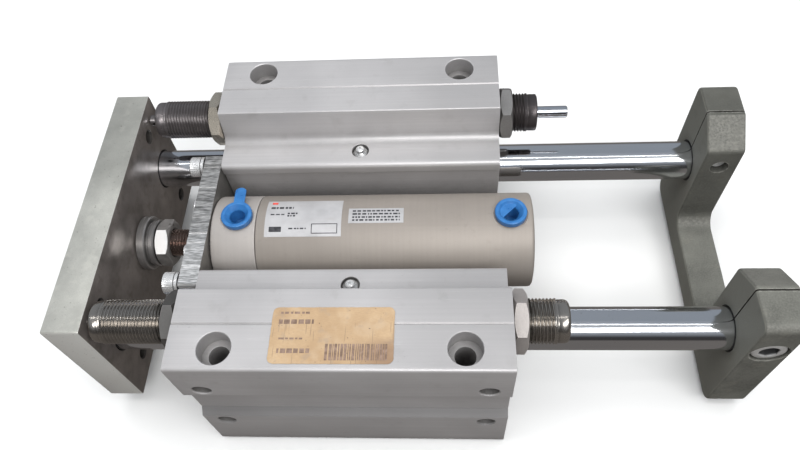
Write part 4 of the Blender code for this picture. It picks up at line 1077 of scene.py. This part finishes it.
def make_front_plate():
    low, high = span("front_plate")
    thick = high.x - low.x
    c = 0.0010
    outline = rounded([(-high.y, -high.z, c), (high.y, -high.z, c), (high.y, high.z, c), (-high.y, high.z, c)])
    plate = place(extrude("plate", outline, thick, edge=0.0005), (low.x, 0, 0))
    drills = []
    bore = 0.0086
    locate = thick - 0.0030
    for y in (-ROD_Y, ROD_Y):
        profile = [(-MM, 0), (-MM, 0.0075), (0, 0.0075), (0.0004, 0.0071), (bore, 0.0071), (bore, 0.0043), (locate, 0.0043),
                   (locate, 0.0103), (thick - 0.0004, 0.0103), (thick, 0.0107), (thick + MM, 0.0107), (thick + MM, 0)]
        drills.append(place(turn("drill", profile, ROUND), (low.x, y, 0)))
    drills.append(counterbore(0, bore, thick, 0.0071, 0.0043, (low.x, 0, 0), "X", ROUND, 0.0004))
    for y in (-0.0493, 0.0493):
        for z in (-0.0260, 0.0260):
            drills.append(drill(0, thick, 0.0033, (low.x, y, z), "X", 36, 0.0006, True))
    combine(plate, drills)
    finish_piece(plate, "tool_plate", "slide", "steel", ["front_plate"])


def make_rear_plate():
    low, high = span("rear_plate")
    thick = high.x - low.x
    wide, top, bottom = high.y, high.z, low.z
    inner = 0.0317
    floor = -0.0320
    corners = [
        (0.0, bottom, 0),
        (wide - 0.0015, bottom, 0.0060),
        (wide, bottom + 0.0055, 0.0045),
        (wide, top, 0.0042),
        (0.0465, top, 0.0035),
        (inner, 0.0270, 0.0040),
        (inner, floor, 0.0075),
        (0.0, floor, 0),
    ]
    half = rounded(corners, 8)
    other = [(-y, z) for y, z in reversed(half[1:-1])]
    plate = place(extrude("plate", half + other, thick, edge=0.0012, segments=4), (low.x, 0, 0))
    centre_x = low.x + thick / 2
    clamp_z = middle("clamp_screw_far").z
    drills = []
    for side in (-1, 1):
        drills.append(drill(0, thick, ROD_RADIUS + GAP, (low.x, side * ROD_Y, 0), "X", ROUND, 0.0006, True))
        depth = top + MM - ROD_RADIUS + 0.002
        slit = [(-0.0004, 0), (0.0004, 0), (0.0004, depth), (-0.0004, depth)]
        drills.append(place(extrude("slit", slit, thick + 2 * MM), (low.x - MM, side * ROD_Y, ROD_RADIUS - 0.002)))
        at = (centre_x, side * wide, clamp_z)
        along = "-Y" if side > 0 else "Y"
        drills.append(counterbore(0, 0.0090, 0.0370, 0.0080, 0.0043, at, along, ROUND, 0.0003, False))
    combine(plate, drills)
    finish_piece(plate, "clamp_yoke", "slide", "cast", ["rear_plate"], None, 30)
    even = plate.modifiers.new("even_normals", "WEIGHTED_NORMAL")
    even.keep_sharp = True
    even.weight = 60


def make_guide_rods():
    for side, word in SIDES:
        node = "guide_rod_" + word
        low, high = span(node)
        r = ROD_RADIUS
        profile = [(high.x, 0), (high.x, r - 0.0010), (high.x - 0.0003, r - 0.0006), (high.x - 0.0010, r),
                   (low.x + 0.0010, r), (low.x + 0.0003, r - 0.0006), (low.x, r - 0.0010), (low.x, 0.0043),
                   (low.x + 0.0220, 0.0043), (low.x + 0.0230, 0)]
        rod = place(turn("rod", profile, 128), (0, side * ROD_Y, 0))
        finish_piece(rod, "polished_rod_" + word, "slide", "chrome", [node])


def make_piston_rod():
    """The chromed rod with its brown threaded end, split where the thread starts, and the parts screwed on it."""
    low, high = span("piston_rod")
    r = (high.z - low.z) / 2
    thread_radius = 0.0069
    start = -0.0100
    profile = [(high.x, 0), (high.x, 0.0060), (0.1043, 0.0060), (0.1043, r), (start, r), (start - 0.0012, thread_radius),
               (start - 0.0030, 0.0060), (start - 0.0030, 0)]
    rod = place(turn("rod", profile, ROUND))
    finish_piece(rod, "chromed_rod", "slide", "chrome", ["piston_rod"])
    profile = [(start - 0.0032, 0), (start - 0.0032, 0.0060), (start - 0.0034, thread_radius), (low.x + 0.0010, thread_radius),
               (low.x, thread_radius - 0.0010), (low.x, 0)]
    thread = (low.x + 0.0010, start - 0.0034, 0.0015, 0.0007)
    end = place(turn("end", profile, 64, "X", thread))
    finish_piece(end, "threaded_rod_end", "slide", "chrome", ["piston_rod"], THREAD_BROWN, 50)

    low, high = span("end_bracket")
    disc = (high.z - low.z) / 2
    bore = thread_radius + GAP
    profile = [
        (low.x, 0.0043), (low.x, disc - 0.0005), (low.x + 0.0005, disc), (-0.0374, disc), (-0.0369, disc - 0.0005),
        (-0.0369, 0.0110), (-0.0366, 0.0107), (-0.0361, 0.0107), (-0.0358, 0.0110), (-0.0358, 0.0115),
        (-0.0353, 0.0120), (high.x - 0.0006, 0.0120), (high.x, 0.0114), (high.x, bore + 0.0005), (high.x - 0.0005, bore),
        (-0.0369, bore), (-0.0369, 0.0043),
    ]
    bracket = place(turn("bracket", profile, ROUND))
    finish_piece(bracket, "rod_end_bracket", "slide", "blackened", ["end_bracket"])
    hex_nut("rod_nut", "jam_nut", "slide", "chrome", 0.0210, bore - 0.0002, "X", 0.0, JAM_NUT)


def cover_hidden_nodes():
    """The pieces inside the body and tube keep their CAD shapes and take their slots' materials."""
    slots = {row["node"]: row["material_slot"] for row in frame["record"]["subparts"]}
    for node, obj in frame["nodes"].items():
        if obj.hide_render:
            continue
        obj.data.materials.clear()
        obj.data.materials.append(MATERIALS[slots[node]])


# ---------------------------------------------------------------- labels


def round_corner(x, s, left, right, start, end, radius=0.0025):
    """Moves a point near a corner of a sheet so that the corner is round."""
    middle_x, middle_s = (left + right) / 2, (start + end) / 2
    reach_x, reach_s = abs(right - left) / 2 - radius, abs(end - start) / 2 - radius
    out_x, out_s = abs(x - middle_x) - reach_x, abs(s - middle_s) - reach_s
    if out_x <= 0 or out_s <= 0:
        return x, s
    scale = max(out_x, out_s) / math.hypot(out_x, out_s)
    x = middle_x + math.copysign(reach_x + out_x * scale, x - middle_x)
    s = middle_s + math.copysign(reach_s + out_s * scale, s - middle_s)
    return x, s


def film(name, left, right, start, end, lift, thick, bend_radius, height, material, body="body", slot="barrel",
         ragged=0.0, columns=1):
    """A thin closed sheet over x from left to right and across from start to end.

    Across runs round the tube where bend_radius is set, and along y where it isn't. The sheet lies at the
    height, lifted a little, and a ragged one has torn edges.
    """
    bm = bmesh.new()
    across = max(1, round(abs(end - start) / 0.0012)) if bend_radius or ragged else 1
    along = max(columns, round((right - left) / 0.0012) if ragged else 1)

    def point(u, v, level):
        x, s = left + (right - left) * u, start + (end - start) * v
        if ragged:
            edge = min(u, 1 - u, v, 1 - v)
            if edge == 0:
                pull = ragged * (0.5 + 0.5 * noise.noise(Vector((x * 700, s * 700, 3.0))))
                x += pull * ((u == 0) - (u == 1))
                s += pull * ((v == 0) - (v == 1)) * (1 if end > start else -1)
            x, s = round_corner(x, s, left, right, start, end)
        if bend_radius:
            angle = s / bend_radius
            r = bend_radius + lift + level
            return (x, r * math.sin(angle), r * math.cos(angle))
        return (x, s, height + lift + level)

    grids = []
    for level in (0, thick):
        grids.append([[bm.verts.new(point(i / along, j / across, level)) for j in range(across + 1)]
                      for i in range(along + 1)])
    for grid in grids:
        for i in range(along):
            for j in range(across):
                bm.faces.new((grid[i][j], grid[i + 1][j], grid[i + 1][j + 1], grid[i][j + 1]))
    rim = [(i, 0) for i in range(along)] + [(along, j) for j in range(across)]
    rim += [(i, across) for i in range(along, 0, -1)] + [(0, j) for j in range(across, 0, -1)]
    for (i, j), (k, m) in zip(rim, rim[1:] + rim[:1]):
        bm.faces.new((grids[0][i][j], grids[0][k][m], grids[1][k][m], grids[1][i][j]))
    obj = place(mesh_from(bm, name))
    return finish_piece(obj, name, body, slot, (), material, 40)


def join(objects, name):
    """Joins pieces of one material and body into one."""
    bm = bmesh.new()
    for obj in objects:
        bm.from_mesh(obj.data)
    first = objects[0]
    for obj in objects[1:]:
        bpy.data.objects.remove(obj, do_unlink=True)
    bm.to_mesh(first.data)
    bm.free()
    first.name = name
    first.data.name = name
    return first


def dashes(left, right, across, tall, lift, bend_radius, height, material, shortest=0.0006, longest=0.0022):
    """A row of small printed bars in place of words."""
    made = []
    x = left
    while x < right:
        wide = min(right - x, rng.uniform(shortest, longest))
        made.append(film("dash", x, x + wide, across - tall / 2, across + tall / 2, lift, 0.00002, bend_radius, height,
                         material))
        x += wide + rng.uniform(0.0004, 0.0008)
    return made


def make_labels():
    """Two film labels on the tube and a paper one on the near tower. Their print is plain bars, with no words."""
    radius = TUBE_RADIUS
    film("rating_label", 0.0268, 0.0640, -0.0106, 0.0106, 0.00003, 0.00008, radius, 0, LABEL, columns=4)
    film("serial_label", 0.0673, 0.0938, -0.0042, 0.0042, 0.00003, 0.00008, radius, 0, LABEL, columns=3)
    top = 0.00011
    black = []
    for left, right, across, tall in ((0.0290, 0.0400, 0.0052, 0.0013), (0.0292, 0.0360, 0.0010, 0.0007),
                                      (0.0375, 0.0425, 0.0016, 0.0009), (0.0375, 0.0420, 0.0002, 0.0009),
                                      (0.0385, 0.0470, -0.0066, 0.0007)):
        black += dashes(left, right, across, tall, top, radius, 0, BLACK_INK)
    black.append(film("block", 0.0290, 0.0350, -0.0082, -0.0056, top, 0.00002, radius, 0, BLACK_INK))
    for across in (-0.0092, -0.0046):
        black.append(film("rule", 0.0495, 0.0622, across, across + 0.0004, top, 0.00002, radius, 0, BLACK_INK))
    for left in (0.0495, 0.0618):
        black.append(film("rule", left, left + 0.0004, -0.0088, -0.0046, top, 0.00002, radius, 0, BLACK_INK))
    for across in (0.0026, 0.0008, -0.0010, -0.0026):
        black += dashes(0.0692, 0.0920, across, 0.0009, top, radius, 0, BLACK_INK)
    join(black, "label_print")
    red = [film("mark", 0.0290, 0.0318, 0.0078, 0.0094, top, 0.00002, radius, 0, RED_INK)]
    join(red, "label_red_mark")

    near, far = -0.0831, -0.0582
    film("paper_label", 0.0425, 0.0932, near, far, 0.00003, 0.00014, 0, TOP, PAPER, "body", "anodised", 0.0003)
    brown = []
    top = 0.00018
    for left, right, across, tall in ((0.0460, 0.0580, -0.0608, 0.0010), (0.0455, 0.0600, -0.0648, 0.0020),
                                      (0.0462, 0.0560, -0.0722, 0.0008), (0.0460, 0.0600, -0.0775, 0.0020)):
        brown += dashes(left, right, across, tall, top, 0, TOP, BROWN_INK, 0.0008, 0.0026)
    x = 0.0655
    while x < 0.0900:
        wide = rng.choice((0.0004, 0.0006, 0.0008, 0.0011))
        brown.append(film("bar", x, x + wide, -0.0815, -0.0745, top, 0.00002, 0, TOP, BROWN_INK))
        x += wide + rng.choice((0.0003, 0.0004, 0.0006))
    join(brown, "paper_print")


# ---------------------------------------------------------------- floor, light and camera


def make_floor():
    bm = bmesh.new()
    bmesh.ops.create_grid(bm, x_segments=1, y_segments=1, size=6.0)
    mesh = bpy.data.meshes.new("floor")
    bm.to_mesh(mesh)
    bm.free()
    floor = bpy.data.objects.new("floor", mesh)
    bpy.context.scene.collection.objects.link(floor)
    floor.location.z = cad_box[0].z - 0.0004
    floor.visible_glossy = False
    floor.visible_diffuse = False
    r = Recipe("pale_floor")
    base = r.mix(r.band(r.noise(400, 2.0), 0.3, 0.7), (0.80, 0.80, 0.79), (0.83, 0.83, 0.82))
    mesh.materials.append(r.done(base, 0.0, 0.85))


def softbox(name, at, aim, width, depth, watts, colour, seen=True):
    light = bpy.data.lights.new(name, "AREA")
    light.shape = "RECTANGLE"
    light.size, light.size_y = width, depth
    light.energy = watts
    light.color = colour
    obj = bpy.data.objects.new(name, light)
    bpy.context.scene.collection.objects.link(obj)
    obj.location = at
    obj.rotation_euler = (Vector(aim) - Vector(at)).to_track_quat("-Z", "Y").to_euler()
    obj.visible_glossy = seen
    return obj


def make_light():
    """Soft light from above, a strip behind the camera, and a dim room that the chrome can mirror."""
    centre = (0.0, 0.0, 0.05)
    softbox("overhead", (0.0, 0.15, 1.6), centre, 1.8, 1.4, 25, (1.0, 0.992, 0.982), False)
    softbox("strip", (0.35, -0.75, 1.10), centre, 1.3, 0.42, 11.0, (1.0, 1.0, 1.0))
    softbox("fill", (0.0, -1.3, 0.45), centre, 1.2, 0.5, 2.2, (1.0, 1.0, 1.0), False)
    softbox("thin_strip", (0.0, -0.16, 1.40), centre, 2.2, 0.035, 2.0, (1.0, 1.0, 1.0))
    world = bpy.data.worlds.new("room")
    bpy.context.scene.world = world
    world.use_nodes = True
    tree = world.node_tree
    background = tree.nodes["Background"]
    where = tree.nodes.new("ShaderNodeTexCoord")
    split = tree.nodes.new("ShaderNodeSeparateXYZ")
    tree.links.new(where.outputs["Generated"], split.inputs[0])
    height = tree.nodes.new("ShaderNodeValToRGB")
    tree.links.new(split.outputs["Z"], height.inputs[0])
    stops = ((0.0, (0.045, 0.042, 0.041)), (0.30, (0.045, 0.044, 0.046)), (0.60, (0.30, 0.32, 0.35)), (1.0, (0.50, 0.52, 0.55)))
    ramp = height.color_ramp
    while len(ramp.elements) < len(stops):
        ramp.elements.new(0.5)
    for element, (position, colour) in zip(ramp.elements, stops):
        element.position = position
        element.color = (*colour, 1.0)
    behind = tree.nodes.new("ShaderNodeMapRange")
    behind.inputs["From Min"].default_value = -0.35
    behind.inputs["From Max"].default_value = 0.25
    tree.links.new(split.outputs["Y"], behind.inputs["Value"])
    mix = tree.nodes.new("ShaderNodeMix")
    mix.data_type = "RGBA"
    tree.links.new(behind.outputs["Result"], mix.inputs[0])
    tree.links.new(height.outputs["Color"], mix.inputs[6])
    mix.inputs[7].default_value = (0.30, 0.33, 0.37, 1.0)
    below = tree.nodes.new("ShaderNodeMapRange")
    below.inputs["From Min"].default_value = 0.03
    below.inputs["From Max"].default_value = -0.05
    tree.links.new(split.outputs["Z"], below.inputs["Value"])
    room = tree.nodes.new("ShaderNodeMix")
    room.data_type = "RGBA"
    tree.links.new(below.outputs["Result"], room.inputs[0])
    tree.links.new(mix.outputs[2], room.inputs[6])
    room.inputs[7].default_value = (0.165, 0.152, 0.143, 1.0)
    tree.links.new(room.outputs[2], background.inputs["Color"])
    background.inputs["Strength"].default_value = 1.0


def make_camera():
    camera = bpy.data.cameras.new("camera")
    camera.sensor_width = 36
    camera.lens = 31.615
    camera.clip_start = 0.01
    obj = bpy.data.objects.new("camera", camera)
    bpy.context.scene.collection.objects.link(obj)
    right = Vector((0.99751954, 0.02881198, -0.0642234))
    forward = Vector((-0.06959433, 0.54049719, -0.83846253))
    up = right.cross(forward)
    turned = Matrix((right, up, -forward)).transposed()
    obj.matrix_world = Matrix.Translation((0.01537, -0.185562, 0.352644)) @ turned.to_4x4()
    bpy.context.scene.camera = obj


bpy.context.scene.view_settings.view_transform = "Standard"
make_camera()
make_light()
make_floor()
make_guide_body()
make_flange()
make_screws()
make_cylinder()
make_plugs()
make_absorbers()
make_small_rings()
make_labels()
make_front_plate()
make_rear_plate()
make_guide_rods()
make_piston_rod()
cover_hidden_nodes()
